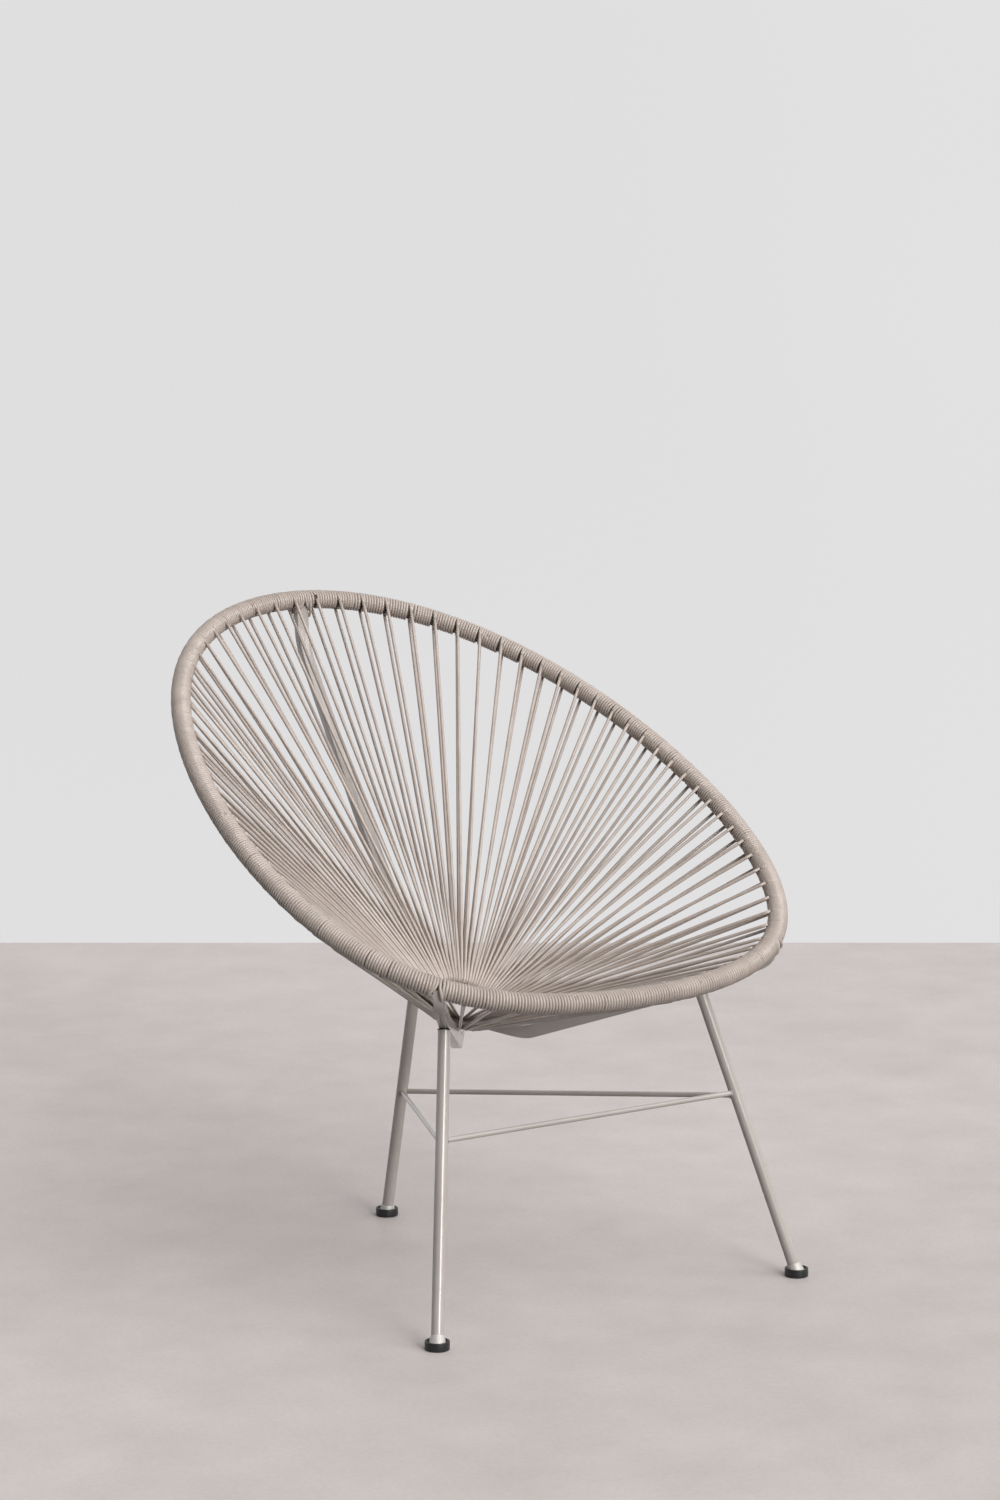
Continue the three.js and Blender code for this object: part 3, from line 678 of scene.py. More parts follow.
class CordPath:
    """The middle line of the one long cord, with the piece of the chair that each stretch belongs to."""

    # Start of the random draws, so that the same turns come out each time.
    seed = 11
    # A strand slants on the hoop over this part of its turn, in radians, and by no more than this length.
    drift_turn = 0.7
    most_drift = 0.0014
    # A returning cord keeps this far off the room of a bar.
    clearance = 0.0008
    # Every second cord goes round the ring further out, and all of them by a little chance.
    outer_lift = 0.0005
    inner_lift = -0.0003
    ring_unevenness = 0.0001
    # A cord moves this far along the ring as it goes round it, through this many points.
    step_on_ring = 0.0009
    bend_points = 11
    # Points of a strand, as shares of its run.
    strand_shares = np.array([0.012, 0.03, 0.08, 0.2, 0.4, 0.6, 0.8, 0.92, 0.97])
    # Turns differ in width by this share. One stretch in five has a gap, in turns, beside one of its turns.
    pitch_unevenness_share = 0.03
    gap_chance_share = 0.2
    gap_turns = 0.4
    # The slack turn hangs over this part of a turn, in radians.
    loose_spread = 0.75
    # Turns beside a bar come back to the hoop over this part of a turn, in radians, and keep this far off the
    # bar's room. Stacked ones rise by this share of the cord's diameter.
    return_turn = 0.32
    bar_clearance = 0.0002
    stacking_share = 0.9

    def __init__(self, layout, bars):
        self.layout = layout
        self.bars = bars
        self.random = np.random.default_rng(self.seed)
        self.wound = layout.rim.tube_radius + layout.cord.diameter / 2
        self.round_ring = layout.ring.rod_radius + layout.cord.diameter / 2
        self.winding_pieces = len(nodes_named("rim_winding_"))
        self.points = []
        self.labels = []
        stations = layout.cord.stations
        stations_a_piece = stations // len(nodes_named("net_"))
        crossings = [self.crossing(number) for number in range(stations)]
        for number in range(stations):
            here = crossings[number]
            after = crossings[(number + 1) % stations]
            self.add(here["line"], [("net", number // stations_a_piece)] * len(here["line"]))
            end = after["out_share"] + (1.0 if number + 1 == stations else 0.0)
            self.wind(here, end, after)
        self.points = np.array(self.points)

    def add(self, points, labels):
        self.points.extend(points)
        self.labels.extend(labels)

    def winding_label(self, share_of_turn):
        """The winding piece that a place on the hoop belongs to."""
        run_share = self.layout.crowded(share_of_turn % 1.0)
        return "winding", math.floor(run_share * self.winding_pieces + 0.5) % self.winding_pieces

    def clear_of_bars(self, share_of_turn):
        """Moves a returning cord's place off a bar."""
        layout = self.layout
        for bar in self.bars:
            room = (bar.half_room + self.clearance) / layout.girth / layout.crowding_rate(bar.turn_share)
            off = (share_of_turn - bar.turn_share + 0.5) % 1.0 - 0.5
            if abs(off) < room:
                share_of_turn += room * (1 if off >= 0 else -1) - off
        return share_of_turn

    def crossing(self, number):
        """One run of cord from the hoop's upper face round the ring and back to the lower face."""
        layout = self.layout
        cord = layout.cord
        out_share = (number + cord.first_station) / cord.stations
        half_pitch = cord.pitch / 2 / layout.girth / layout.crowding_rate(out_share)
        back_share = out_share + half_pitch
        beside = self.clear_of_bars(back_share) - back_share
        lift = self.outer_lift if number % 2 else self.inner_lift
        radius = self.round_ring + lift + self.random.normal(0, self.ring_unevenness)
        ring_turn = FULL_TURN * (out_share + back_share) / 2
        middle = layout.on_ring(ring_turn)
        from_ring = layout.ring_outward(ring_turn)
        along_ring = np.cross(layout.normal, from_ring)

        def on_ring(turn, part):
            """A place on the bend, by the turn round the ring's rod and the part of the bend that is done."""
            return (
                middle
                + radius * (math.cos(turn) * from_ring + math.sin(turn) * layout.normal)
                + along_ring * self.step_on_ring * (part - 0.5)
            )

        def strand_end(share_of_turn, side):
            """Where the strand on the upper side (1) or the lower one (-1) leaves the ring and the hoop."""
            point, tangent, away, upper = layout.section(share_of_turn)
            start = point + side * self.wound * upper
            flat = start - middle
            bearing = math.atan2(flat @ layout.normal, flat @ from_ring)
            distance = math.hypot(flat @ layout.normal, flat @ from_ring)
            ring_angle = bearing + side * math.acos(radius / distance)
            at_ring = on_ring(ring_angle, 0.0 if side > 0 else 1.0)
            to_ring = at_ring - point
            to_away, to_upper = to_ring @ away, to_ring @ upper
            lean = math.acos(self.wound / math.hypot(to_away, to_upper))
            rim_angle = math.atan2(to_upper, to_away) % FULL_TURN - side * lean
            if side < 0:
                rim_angle -= FULL_TURN
            slant = (to_ring @ tangent) / math.hypot(to_away, to_upper)
            wanted = self.wound * slant * self.drift_turn / 2
            drift = float(np.clip(wanted, -self.most_drift, self.most_drift))
            on_hoop = point + self.wound * (math.cos(rim_angle) * away + math.sin(rim_angle) * upper)
            return ring_angle, at_ring, rim_angle, on_hoop + drift * tangent, drift

        out_share += beside
        back_share += beside
        first, out_ring, out_angle, out_hoop, out_drift = strand_end(out_share, 1)
        last, back_ring, back_angle, back_hoop, back_drift = strand_end(back_share, -1)
        last += FULL_TURN
        shares = self.strand_shares
        out_line = [out_hoop + (out_ring - out_hoop) * part for part in shares]
        back_line = [back_ring + (back_hoop - back_ring) * part for part in 1 - shares[::-1]]
        parts = np.linspace(0, 1, self.bend_points)
        bend = [on_ring(first + (last - first) * part, part) for part in parts]
        return {
            "line": out_line + bend + back_line,
            "out_share": out_share,
            "back_share": back_share,
            "out_angle": out_angle,
            "back_angle": back_angle,
            "out_drift": out_drift,
            "back_drift": back_drift,
        }

    def wind(self, here, end, after):
        """The turns round the hoop from one crossing's return to the next one's start."""
        layout = self.layout
        cord = layout.cord
        start, start_angle, end_angle = here["back_share"], here["back_angle"], after["out_angle"]
        rate = layout.crowding_rate((start + end) / 2)
        room = (end - start) * rate * layout.girth
        turns = max(1, round(room / cord.pitch - (end_angle - start_angle) / FULL_TURN))
        total = end_angle - start_angle + FULL_TURN * turns
        steps = math.ceil(total / FULL_TURN * cord.steps)
        angles = start_angle + total * np.linspace(0.0, 1.0, steps + 1)
        weights = 1 + self.random.normal(0, self.pitch_unevenness_share, turns + 2)
        if self.random.random() < self.gap_chance_share:
            weights[self.random.integers(1, turns + 1)] += self.gap_turns
        marks = np.concatenate([[0.0], np.cumsum(weights)])
        turn_number = (angles - start_angle) / FULL_TURN
        travel = np.interp(turn_number, np.arange(len(marks)), marks)
        shares = start + (end - start) * travel / travel[-1]
        knots = np.arange(0, turn_number[-1] + 1, 0.5)
        uneven = np.interp(turn_number, knots, self.random.normal(0, cord.slackness, len(knots)))
        radius = np.full(len(angles), self.wound) + np.abs(uneven)
        from_start = np.clip(1 - (angles - angles[0]) / self.drift_turn, 0.0, 1.0) ** 2
        from_end = np.clip(1 - (angles[-1] - angles) / self.drift_turn, 0.0, 1.0) ** 2
        sideways = here["back_drift"] * from_start + after["out_drift"] * from_end
        for bar in self.bars:
            self.round_bar(bar, angles, shares, radius, sideways)
        shares = shares + sideways / layout.girth / rate
        point, _, away, upper = layout.section(shares)
        ring = np.cos(angles)[:, None] * away + np.sin(angles)[:, None] * upper
        self.add(point + radius[:, None] * ring, [self.winding_label(place) for place in shares])

    def round_bar(self, bar, angles, shares, radius, sideways):
        """Turns over a bar pass beside it where it leaves the hoop, one outside the other."""
        cord = self.layout.cord
        rate = self.layout.crowding_rate(bar.turn_share) * self.layout.girth
        off_all = ((shares - bar.turn_share + 0.5) % 1.0 - 0.5) * rate
        if np.abs(off_all).min() > bar.half_room + 2 * cord.pitch:
            return
        whole = np.round((angles - bar.heading) / FULL_TURN)
        for number in np.unique(whole):
            nearest = bar.heading + number * FULL_TURN
            place = np.interp(nearest, angles, off_all)
            here = whole == number
            apart = np.abs(angles[here] - nearest)
            if bar.half_room <= place < bar.half_room + cord.pitch:
                radius[here] += bar.loose_turn * np.exp(-((apart / self.loose_spread) ** 2))
            if abs(place) >= bar.half_room:
                continue
            fade = np.clip((bar.full_angle + self.return_turn - apart) / self.return_turn, 0.0, 1.0)
            fade = fade * fade * (3 - 2 * fade)
            side = 1 if place >= 0 else -1
            stacked = math.floor((bar.half_room - abs(place)) / cord.pitch)
            sideways[here] += (side * (bar.half_room + self.bar_clearance) - place) * fade
            radius[here] += stacked * self.stacking_share * cord.diameter * fade


def section_frames(points):
    """Two directions across the cord at each point, carried along it without twist."""
    tangents = unit(np.gradient(points, axis=0))
    first = np.empty_like(points)
    first[0] = unit(np.cross(tangents[0], UP))
    for number in range(1, len(points)):
        carried = first[number - 1] - tangents[number] * (first[number - 1] @ tangents[number])
        first[number] = carried / math.sqrt(carried @ carried)
    return first, np.cross(tangents, first)


def cord_mesh(name, runs, rings):
    """A mesh of closed lengths of cord from runs of section rings."""
    sides = rings.shape[1]
    vertices, faces = [], []
    for start, stop in runs:
        base = len(vertices)
        vertices.extend(rings[start:stop].reshape(-1, 3).tolist())
        for row in range(stop - start - 1):
            here = base + row * sides
            for side in range(sides):
                after = (side + 1) % sides
                faces.append((here + side, here + after, here + sides + after, here + sides + side))
        last = base + (stop - start - 1) * sides
        faces.append(tuple(base + side for side in reversed(range(sides))))
        faces.append(tuple(last + side for side in range(sides)))
    mesh = bpy.data.meshes.new(name)
    mesh.from_pydata(vertices, [], faces)
    mesh.polygons.foreach_set("use_smooth", [True] * len(faces))
    mesh.validate()
    mesh.update()
    piece = bpy.data.objects.new(name, mesh)
    bpy.context.scene.collection.objects.link(piece)
    return piece


def softened(points, passes=2, least_evenness_share=0.35):
    """Eases the corners of a middle line where the steps on both sides are about as long."""
    points = points.copy()
    for _ in range(passes):
        inner = 0.25 * points[:-2] + 0.5 * points[1:-1] + 0.25 * points[2:]
        step = np.linalg.norm(np.diff(points, axis=0), axis=1)
        shorter, longer = np.minimum(step[:-1], step[1:]), np.maximum(step[:-1], step[1:])
        even = (shorter > least_evenness_share * longer)[:, None]
        points[1:-1] = np.where(even, 0.5 * inner + 0.5 * points[1:-1], points[1:-1])
    return points


class CHAIR_OT_cord(bpy.types.Operator):
    """Winds the cord round the hoop and strings the net from it to the seat ring"""

    bl_idname = "chair.cord"
    bl_label = "Cord"

    def execute(self, context):
        layout = Layout(context.scene)
        sizes = context.scene.chair_frame
        bars = [Bar(layout, SPINE, sizes.spine_width, sizes.spine_depth, layout.cord.loose_turn)]
        bars += [Bar(layout, name, sizes.arm_width, sizes.arm_depth) for name in ARMS]
        path = CordPath(layout, bars)
        rings = self.section_rings(layout.cord, path)
        runs = self.runs(path.labels)
        for kind, start in (("winding", "rim_winding_"), ("net", "net_")):
            for number, name in enumerate(nodes_named(start)):
                if (kind, number) not in runs:
                    raise RuntimeError(f"no cord for {name}")
                piece = cord_mesh(f"cord_{name}", runs[(kind, number)], rings)
                finish_piece(context, piece, "cord", "cord", name)
        return {"FINISHED"}

    def section_rings(self, cord, path):
        """A ring of points round each point of the middle line."""
        points = softened(path.points)
        first, second = section_frames(points)
        turns = np.arange(cord.sides) / cord.sides * FULL_TURN
        thickness = [cord.strand_diameter if kind == "net" else cord.diameter for kind, _ in path.labels]
        radius = np.array(thickness)[:, None, None] / 2
        return (
            points[:, None, :]
            + radius * np.cos(turns)[None, :, None] * first[:, None, :]
            + radius * np.sin(turns)[None, :, None] * second[:, None, :]
        )

    def runs(self, labels):
        """The stretches of the cord in each piece, as their first point and the one past their last."""
        found = {}
        start = 0
        for stop in range(1, len(labels) + 1):
            if stop == len(labels) or labels[stop] != labels[start]:
                found.setdefault(labels[start], []).append((start, min(stop + 1, len(labels))))
                start = stop
        return found


# Bars.

# Points of a copied mesh nearer than this are one point.
MERGE_DISTANCE = 0.00001
# Faces within this many degrees are one flat face, and triangles within these make a quad.
FLAT_DEGREES = 0.8
QUAD_FACE_DEGREES = 25
QUAD_SHAPE_DEGREES = 70


def merged_copy(name, source, planar):
    """A copy of a CAD node's mesh with its loose triangles joined, into whole flat faces or into quads."""
    mesh = nodes[source].data.copy()
    mesh.materials.clear()
    piece = bpy.data.objects.new(name, mesh)
    bpy.context.scene.collection.objects.link(piece)
    piece.matrix_world = nodes[source].matrix_world.copy()
    settle(piece)
    with whole_mesh(piece):
        bpy.ops.mesh.remove_doubles(threshold=MERGE_DISTANCE)
        if planar:
            bpy.ops.mesh.dissolve_limited(angle_limit=math.radians(FLAT_DEGREES))
        else:
            face, shape = math.radians(QUAD_FACE_DEGREES), math.radians(QUAD_SHAPE_DEGREES)
            bpy.ops.mesh.tris_convert_to_quads(face_threshold=face, shape_threshold=shape)
    return piece


def edge_angles(piece):
    """The angle between the two faces of each edge, by the edge's vertex pair."""
    sides = {}
    for polygon in piece.data.polygons:
        for key in polygon.edge_keys:
            sides.setdefault(key, []).append(polygon.normal.copy())
    return {
        key: pair[0].angle(pair[1], 0.0) if len(pair) == 2 else 0.0 for key, pair in sides.items()
    }


def bevel_edges(piece, test, offset, segments):
    """Bevels the edges that pass a test of their degrees and their two points."""
    angles = edge_angles(piece)
    vertices = piece.data.vertices

    def wanted(edge):
        a, b = (vertices[index].co for index in edge.vertices)
        return test(math.degrees(angles[tuple(sorted(edge.vertices))]), a, b)

    with picked(piece, edges=wanted) as found:
        if found:
            bpy.ops.mesh.bevel(
                offset=offset, segments=segments, profile=0.5, affect="EDGES", clamp_overlap=True
            )


class CHAIR_OT_bars(bpy.types.Operator):
    """Rounds the spine's and the arms' edges and eases their bends"""

    bl_idname = "chair.bars"
    bl_label = "Spine and arms"

    # An edge across the spine at a bend has its faces between these degrees apart, and is longer than this.
    bend_degrees = (1.0, 40.0)
    least_bend_edge = 0.01
    bend_steps = 5
    # A long edge of a bar has its faces more than this apart, and is longer than this.
    long_edge_degrees = 55.0
    least_long_edge = 0.003
    edge_steps = 3
    # An edge across an arm at its knee.
    knee_degrees = (2.0, 45.0)
    knee_edge = (0.009, 0.015)
    knee_steps = 6
    # The cut under an arm's end starts at this share of the way from the knee to the end.
    cut_start_share = 0.3
    hoop_samples = 400
    shading_degrees = 35.0

    def execute(self, context):
        settings = context.scene.chair_frame
        layout = Layout(context.scene)
        hoop, _ = layout.hoop(np.linspace(0.0, 1.0, self.hoop_samples))
        clear = layout.rim.tube_radius + layout.cord.diameter

        def off_hoop(point):
            return np.linalg.norm(hoop - np.array(point), axis=1).min() > clear

        def at_bend(degrees, a, b):
            low, high = self.bend_degrees
            return low < degrees < high and abs((a - b).x) > self.least_bend_edge and off_hoop(a)

        def along_bar(degrees, a, b):
            long = degrees > self.long_edge_degrees and (a - b).length > self.least_long_edge
            return long and off_hoop(a) and off_hoop(b)

        for source in (SPINE, *ARMS):
            spine = source == SPINE
            piece = merged_copy(f"bar_{source}", source, spine)
            if spine:
                bevel_edges(piece, at_bend, settings.bend_length, self.bend_steps)
            else:
                self.ease_knee(piece, settings)
            edge = settings.spine_edge if spine else settings.arm_edge
            bevel_edges(piece, along_bar, edge, self.edge_steps)
            smooth(piece, self.shading_degrees)
            finish_piece(context, piece, "paint", "frame_paint", source)
        return {"FINISHED"}

    def ease_knee(self, piece, settings):
        """Thins the arm's end from below, and rounds its knee."""
        corners = sorted((vertex.co.copy() for vertex in piece.data.vertices), key=lambda place: place.z)
        knee = (corners[0] + corners[1]) / 2
        # The arm's end has the four corners nearest to the chair's upright middle line.
        far = sorted(corners, key=lambda place: place.xy.length)[:4]
        lower = sorted(far, key=lambda place: place.z)[:2]
        end = (lower[0] + lower[1]) / 2
        across = (lower[0] - lower[1]).normalized()
        raised = end + Vector((0, 0, settings.arm_end_lift))
        slope = knee.lerp(end, self.cut_start_share) - raised
        below = slope.cross(across).normalized()
        below = below if below.z < 0 else -below
        trimmed(piece, raised, below)
        outward(piece)

        def at_knee(degrees, a, b):
            low, high = self.knee_degrees
            short, long = self.knee_edge
            near = min((a - knee).length, (b - knee).length) < settings.knee_reach
            return low < degrees < high and short < (a - b).length < long and near

        bevel_edges(piece, at_knee, settings.knee_length, self.knee_steps)


class CHAIR_OT_rings(bpy.types.Operator):
    """Makes the seat ring round and gives the hoop's tube a dark finish of painted shade"""

    bl_idname = "chair.rings"
    bl_label = "Hoop and seat ring"

    shading_degrees = 60.0

    def execute(self, context):
        layout = Layout(context.scene)
        deselect_all()
        bpy.ops.mesh.primitive_torus_add(
            major_radius=layout.ring.radius,
            minor_radius=layout.ring.rod_radius,
            major_segments=96,
            minor_segments=20,
        )
        piece = bpy.context.object
        piece.name = "ring_seat"
        piece.matrix_world = turned_to(layout.normal, layout.ring_centre)
        settle(piece)
        smooth(piece, self.shading_degrees)
        finish_piece(context, piece, "paint", "frame_paint", "seat_ring")
        # The hoop's tube gets a dark finish of painted shade, which stands for the shade in the gaps between
        # the turns.
        tube = nodes["rim_tube"]
        tube.data.materials.clear()
        tube.data.materials.append(finish_of(context, "hoop"))
        return {"FINISHED"}


# Legs, rods and feet.

TUBE_SIDES = 64
ROD_SIDES = 32
# Tubes and discs are made this much too long, then cut.
LOW_OVERRUN = 0.01
OVERRUN = 0.03
# A top face's normal points up by more than this.
LEAST_UP = 0.9


def plane_of(points):
    """Middle and normal of nearly flat points."""
    middle = points.mean(axis=0)
    _, _, axes = np.linalg.svd(points - middle)
    return middle, axes[2] * np.sign(axes[2][2])


class Leg:
    """A leg's axis, its foot, and the plane of its top."""

    # The foot has the points this near the lowest one, and the top those this near the highest.
    foot_reach = 0.001
    top_reach = 0.03

    def __init__(self, name):
        points = cad_points(f"leg_{name}")
        foot_low, foot_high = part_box(f"foot_cup_{name}")
        low = points[points[:, 2] < points[:, 2].min() + self.foot_reach]
        high = points[points[:, 2] > points[:, 2].max() - self.top_reach]
        self.top, self.top_normal = plane_of(high)
        self.foot = low.mean(axis=0)
        self.axis = unit(self.top - self.foot)
        self.cup_middle = (np.array(foot_low) + np.array(foot_high)) / 2

    def at_height(self, height):
        return self.foot + self.axis * (height - self.foot[2]) / self.axis[2]


def cylinder(name, radius, start, end, sides):
    deselect_all()
    span = end - start
    long = float(np.linalg.norm(span))
    bpy.ops.mesh.primitive_cylinder_add(vertices=sides, radius=radius, depth=long)
    piece = bpy.context.object
    piece.name = name
    piece.matrix_world = turned_to(span, (start + end) / 2)
    settle(piece)
    return piece


def cut_tube(name, radius, ends, cuts):
    """A tube or disc between planes that are given as a place and a normal that points off it."""
    piece = cylinder(name, radius, *ends, TUBE_SIDES)
    for place, normal in cuts:
        trimmed(piece, place, normal)
    outward(piece)
    smooth(piece)
    return piece


class CHAIR_OT_legs(bpy.types.Operator):
    """Makes the three leg tubes and the discs on them"""

    bl_idname = "chair.legs"
    bl_label = "Legs"

    def execute(self, context):
        settings = context.scene.chair_frame
        for name in LEGS:
            leg = Leg(name)
            ends = leg.foot - leg.axis * LOW_OVERRUN, leg.top + leg.axis * OVERRUN
            cuts = (leg.foot, -UP), (leg.top, leg.top_normal)
            piece = cut_tube(f"tube_{name}", settings.leg_radius, ends, cuts)
            finish_piece(context, piece, "paint", "frame_paint", f"leg_{name}")
            points = cad_points(f"leg_spacer_{name}")
            middle, _ = plane_of(points)
            up = leg.top_normal
            depths = (points - middle) @ up
            ends = middle - leg.axis * OVERRUN, middle + leg.axis * OVERRUN
            cuts = (middle + up * depths.max(), up), (middle + up * depths.min(), -up)
            disc = cut_tube(f"disc_{name}", settings.leg_radius, ends, cuts)
            finish_piece(context, disc, "spacer", "spacer", f"leg_spacer_{name}")
        return {"FINISHED"}


# Waves round a weld bead, as their count and their height's share of the bead's radius.
BEAD_WAVES = ((9, 0.05), (4, 0.06))


def weld_bead(place, along, radius, thickness, seed):
    """A slightly uneven ring of weld where a rod meets a tube."""
    deselect_all()
    bpy.ops.mesh.primitive_torus_add(
        major_radius=radius, minor_radius=thickness, major_segments=40, minor_segments=12
    )
    piece = bpy.context.object
    starts = np.random.default_rng(seed).uniform(0, FULL_TURN, len(BEAD_WAVES))
    for vertex in piece.data.vertices:
        turn = math.atan2(vertex.co.y, vertex.co.x)
        ripple = 1
        for (number, height_share), start in zip(BEAD_WAVES, starts):
            ripple += height_share * math.sin(number * turn + start)
        vertex.co.x *= ripple
        vertex.co.y *= ripple
    piece.matrix_world = turned_to(along, place)
    settle(piece)
    return piece


def joined(name, pieces):
    deselect_all()
    for piece in pieces:
        piece.select_set(True)
    bpy.context.view_layer.objects.active = pieces[0]
    bpy.ops.object.join()
    pieces[0].name = name
    return pieces[0]


class CHAIR_OT_rods(bpy.types.Operator):
    """Makes the three stretcher rods with their weld beads"""

    bl_idname = "chair.rods"
    bl_label = "Stretcher rods"

    spans = {
        "stretcher_front": ("front_left", "front_right"),
        "stretcher_left": ("front_left", "rear"),
        "stretcher_right": ("front_right", "rear"),
    }
    # The points of a rod nearest to a leg, which give the height where it meets the leg.
    end_points = 8
    # A rod reaches into a leg until this share of the leg's radius from its axis.
    inside_share = 0.8
    # A bead lies this far off the leg and the rod.
    bead_off_leg = 0.0002
    bead_off_rod = 0.0001

    def execute(self, context):
        settings = context.scene.chair_frame
        legs = {name: Leg(name) for name in LEGS}
        for seed, (source, ends) in enumerate(self.spans.items()):
            points = cad_points(source)
            start, end = (self.meeting(points, legs[name]) for name in ends)
            heading = unit(end - start)
            inside = heading * settings.leg_radius * self.inside_share
            pieces = [cylinder("rod", settings.rod_radius, start + inside, end - inside, ROD_SIDES)]
            for number, (place, side) in enumerate(((start, 1), (end, -1))):
                middle = place + side * heading * (settings.leg_radius + self.bead_off_leg)
                radius = settings.rod_radius + self.bead_off_rod
                bead = weld_bead(middle, heading, radius, settings.weld_radius, seed * 2 + number)
                pieces.append(bead)
            piece = joined(f"rod_{source}", pieces)
            smooth(piece)
            finish_piece(context, piece, "paint", "frame_paint", source)
        return {"FINISHED"}

    def meeting(self, points, leg):
        """Where a rod meets a leg's axis."""
        off_axis = np.linalg.norm(np.cross(points - leg.foot, leg.axis), axis=1)
        near = points[np.argsort(off_axis)[: self.end_points]]
        return leg.at_height(near.mean(axis=0)[2])


def sink_top(piece, wall, depth):
    """Sinks the top face of an upright piece, inside a wall."""
    with picked(piece, faces=lambda face: face.normal.z > LEAST_UP):
        bpy.ops.mesh.inset(thickness=wall, depth=0)
        bpy.ops.mesh.extrude_region_move(TRANSFORM_OT_translate={"value": (0, 0, -depth)})


class CHAIR_OT_feet(bpy.types.Operator):
    """Makes the black cups and the light collars"""

    bl_idname = "chair.feet"
    bl_label = "Cups and collars"

    # A level edge of a cup has its faces more than this apart, and its ends at one height within this.
    cup_edge_degrees = 60
    level_slack = 1e-6
    near_floor = 0.0005
    cup_steps = 3
    # A collar leaves this much round its leg. Its top edges lie within this of its top, and have their faces
    # more than this apart.
    leg_clearance = 0.0001
    top_slack = 0.0001
    collar_edge_degrees = 40
    collar_steps = 2

    def execute(self, context):
        feet = context.scene.chair_feet
        settings = context.scene.chair_frame
        for name in LEGS:
            leg = Leg(name)
            x, y = float(leg.cup_middle[0]), float(leg.cup_middle[1])
            cup = self.cup(feet, f"cup_{name}", x, y)
            finish_piece(context, cup, "cup", "foot_cup", f"foot_cup_{name}")
            collar = self.collar(feet, settings, f"collar_{name}", leg)
            finish_piece(context, collar, "collar", "foot_collar", f"foot_collar_{name}")
        return {"FINISHED"}

    def cup(self, feet, name, x, y):
        deselect_all()
        bpy.ops.mesh.primitive_cylinder_add(
            vertices=TUBE_SIDES,
            radius=feet.cup_radius,
            depth=feet.cup_height,
            location=(x, y, feet.cup_height / 2),
        )
        cup = bpy.context.object
        cup.name = name
        settle(cup)
        sink_top(cup, feet.cup_wall, feet.cup_height - feet.cup_floor)

        def level_edge(degrees, a, b):
            return degrees > self.cup_edge_degrees and abs((a - b).z) < self.level_slack

        def at_mouth(degrees, a, b):
            return level_edge(degrees, a, b) and min(a.z, b.z) > feet.cup_floor + self.near_floor * 2

        def at_foot(degrees, a, b):
            return level_edge(degrees, a, b) and max(a.z, b.z) < self.near_floor

        bevel_edges(cup, at_mouth, feet.cup_lip, self.cup_steps)
        bevel_edges(cup, at_foot, feet.cup_foot, self.cup_steps)
        smooth(cup)
        return cup

    def collar(self, feet, settings, name, leg):
        deselect_all()
        middle = leg.foot + leg.axis * feet.collar_length / 2
        bpy.ops.mesh.primitive_cone_add(
            vertices=TUBE_SIDES,
            radius1=feet.collar_foot,
            radius2=feet.collar_top,
            depth=feet.collar_length,
        )
        collar = bpy.context.object
        collar.name = name
        wall = feet.collar_top - settings.leg_radius - self.leg_clearance
        sink_top(collar, wall, feet.collar_recess)

        def at_top(degrees, a, b):
            near_top = min(a.z, b.z) > feet.collar_length / 2 - self.top_slack
            return degrees > self.collar_edge_degrees and near_top

        bevel_edges(collar, at_top, feet.collar_lip, self.collar_steps)
        collar.matrix_world = turned_to(leg.axis, middle)
        settle(collar)
        trimmed(collar, leg.foot, -UP)
        outward(collar)
        smooth(collar)
        return collar


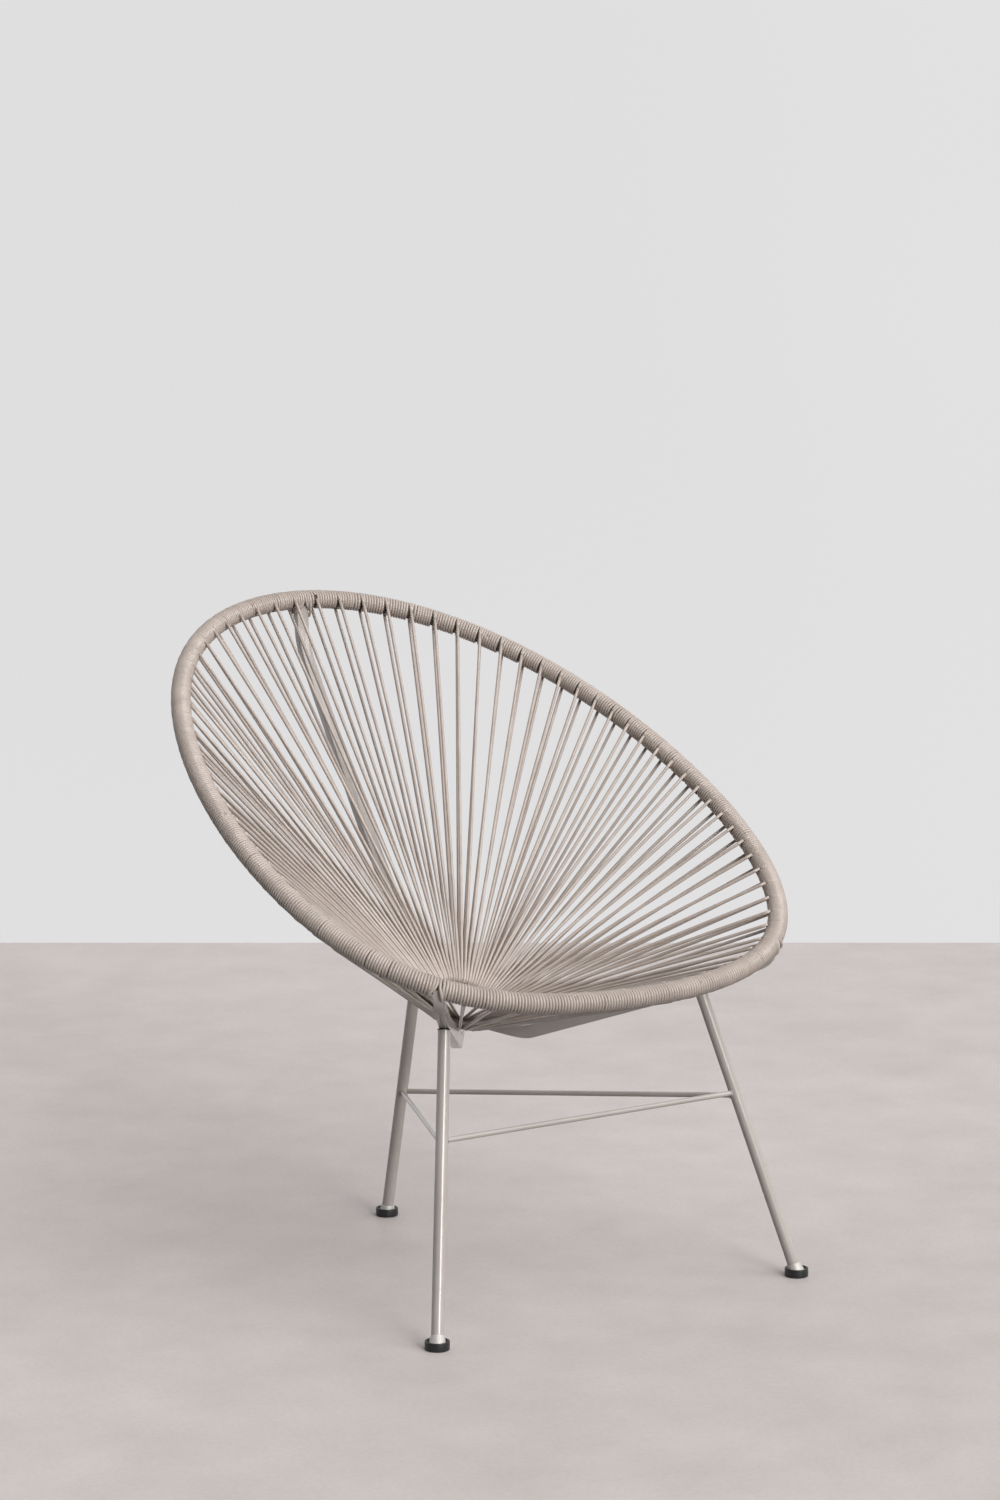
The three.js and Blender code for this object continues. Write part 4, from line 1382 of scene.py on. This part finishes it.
class CHAIR_OT_stage(bpy.types.Operator):
    """Sets the floor, the backdrop, the lamps and the camera"""

    bl_idname = "chair.stage"
    bl_label = "Stage"

    def execute(self, context):
        stage = context.scene.chair_stage
        place = Vector(stage.camera_place)
        level = Vector((math.sin(stage.camera_turn), math.cos(stage.camera_turn), 0.0))
        look = level * math.cos(stage.camera_dip) - Vector((0, 0, math.sin(stage.camera_dip)))
        deselect_all()
        bpy.ops.mesh.primitive_plane_add(size=stage.floor_width)
        floor = bpy.context.object
        floor.name = "floor"
        wall_place = place + level * stage.wall_distance
        bpy.ops.mesh.primitive_plane_add(size=stage.wall_width)
        wall = bpy.context.object
        wall.name = "backdrop"
        wall.matrix_world = turned_to(-level, (wall_place.x, wall_place.y, stage.wall_width / 2))
        settle(wall)
        floor.data.materials.append(finish_of(context, "floor"))
        wall.data.materials.append(finish_of(context, "wall"))
        bpy.ops.object.camera_add(location=place, rotation=look.to_track_quat("-Z", "Y").to_euler())
        camera = bpy.context.object
        camera.data.sensor_fit = "VERTICAL"
        camera.data.sensor_height = stage.picture_height
        camera.data.lens = stage.lens
        context.scene.camera = camera
        target = Vector((0.0, 0.0, stage.lit_height))
        right = Vector((level.y, -level.x, 0.0))

        def heading(side, rise):
            """The direction from the chair to a lamp."""
            flat = right * math.sin(side) - level * math.cos(side)
            return flat * math.cos(rise) + Vector((0, 0, math.sin(rise)))

        names = ("lamp_key", "lamp_back", "lamp_front")
        places = zip(stage.lamp_sides, stage.lamp_rises)
        for name, strength, spread, place in zip(names, stage.lamp_strengths, stage.lamp_spreads, places):
            lamp = bpy.data.lights.new(name, "SUN")
            lamp.energy = strength
            lamp.angle = spread
            holder = bpy.data.objects.new(name, lamp)
            context.scene.collection.objects.link(holder)
            offset = heading(*place) * stage.lamp_distance
            holder.location = target + offset
            holder.rotation_euler = (-offset).to_track_quat("-Z", "Y").to_euler()
        world = bpy.data.worlds.new("even_light")
        context.scene.world = world
        world.use_nodes = True
        light = world.node_tree.nodes["Background"].inputs
        light["Color"].default_value = (1, 1, 1, 1)
        light["Strength"].default_value = stage.sky
        context.scene.view_settings.view_transform = "Standard"
        return {"FINISHED"}


OPERATORS = (
    CHAIR_OT_rings,
    CHAIR_OT_cord,
    CHAIR_OT_bars,
    CHAIR_OT_legs,
    CHAIR_OT_rods,
    CHAIR_OT_feet,
    CHAIR_OT_stage,
)


class CHAIR_PT_panel(bpy.types.Panel):
    """The chair's operators"""

    bl_idname = "CHAIR_PT_panel"
    bl_label = "Corded Lounge Chair"
    bl_space_type = "VIEW_3D"
    bl_region_type = "UI"
    bl_category = "Chair"

    def draw(self, context):
        for operator in OPERATORS:
            self.layout.operator(operator.bl_idname)


CLASSES = tuple(SETTINGS.values()) + OPERATORS + (CHAIR_PT_panel,)


def register():
    for made in CLASSES:
        bpy.utils.register_class(made)
    for name, group in SETTINGS.items():
        setattr(bpy.types.Scene, name, bpy.props.PointerProperty(type=group))


def unregister():
    for name in SETTINGS:
        delattr(bpy.types.Scene, name)
    for made in reversed(CLASSES):
        bpy.utils.unregister_class(made)


def main():
    register()
    bpy.ops.chair.rings()
    bpy.ops.chair.cord()
    bpy.ops.chair.bars()
    bpy.ops.chair.legs()
    bpy.ops.chair.rods()
    bpy.ops.chair.feet()
    bpy.ops.chair.stage()


if __name__ == "__main__":
    main()
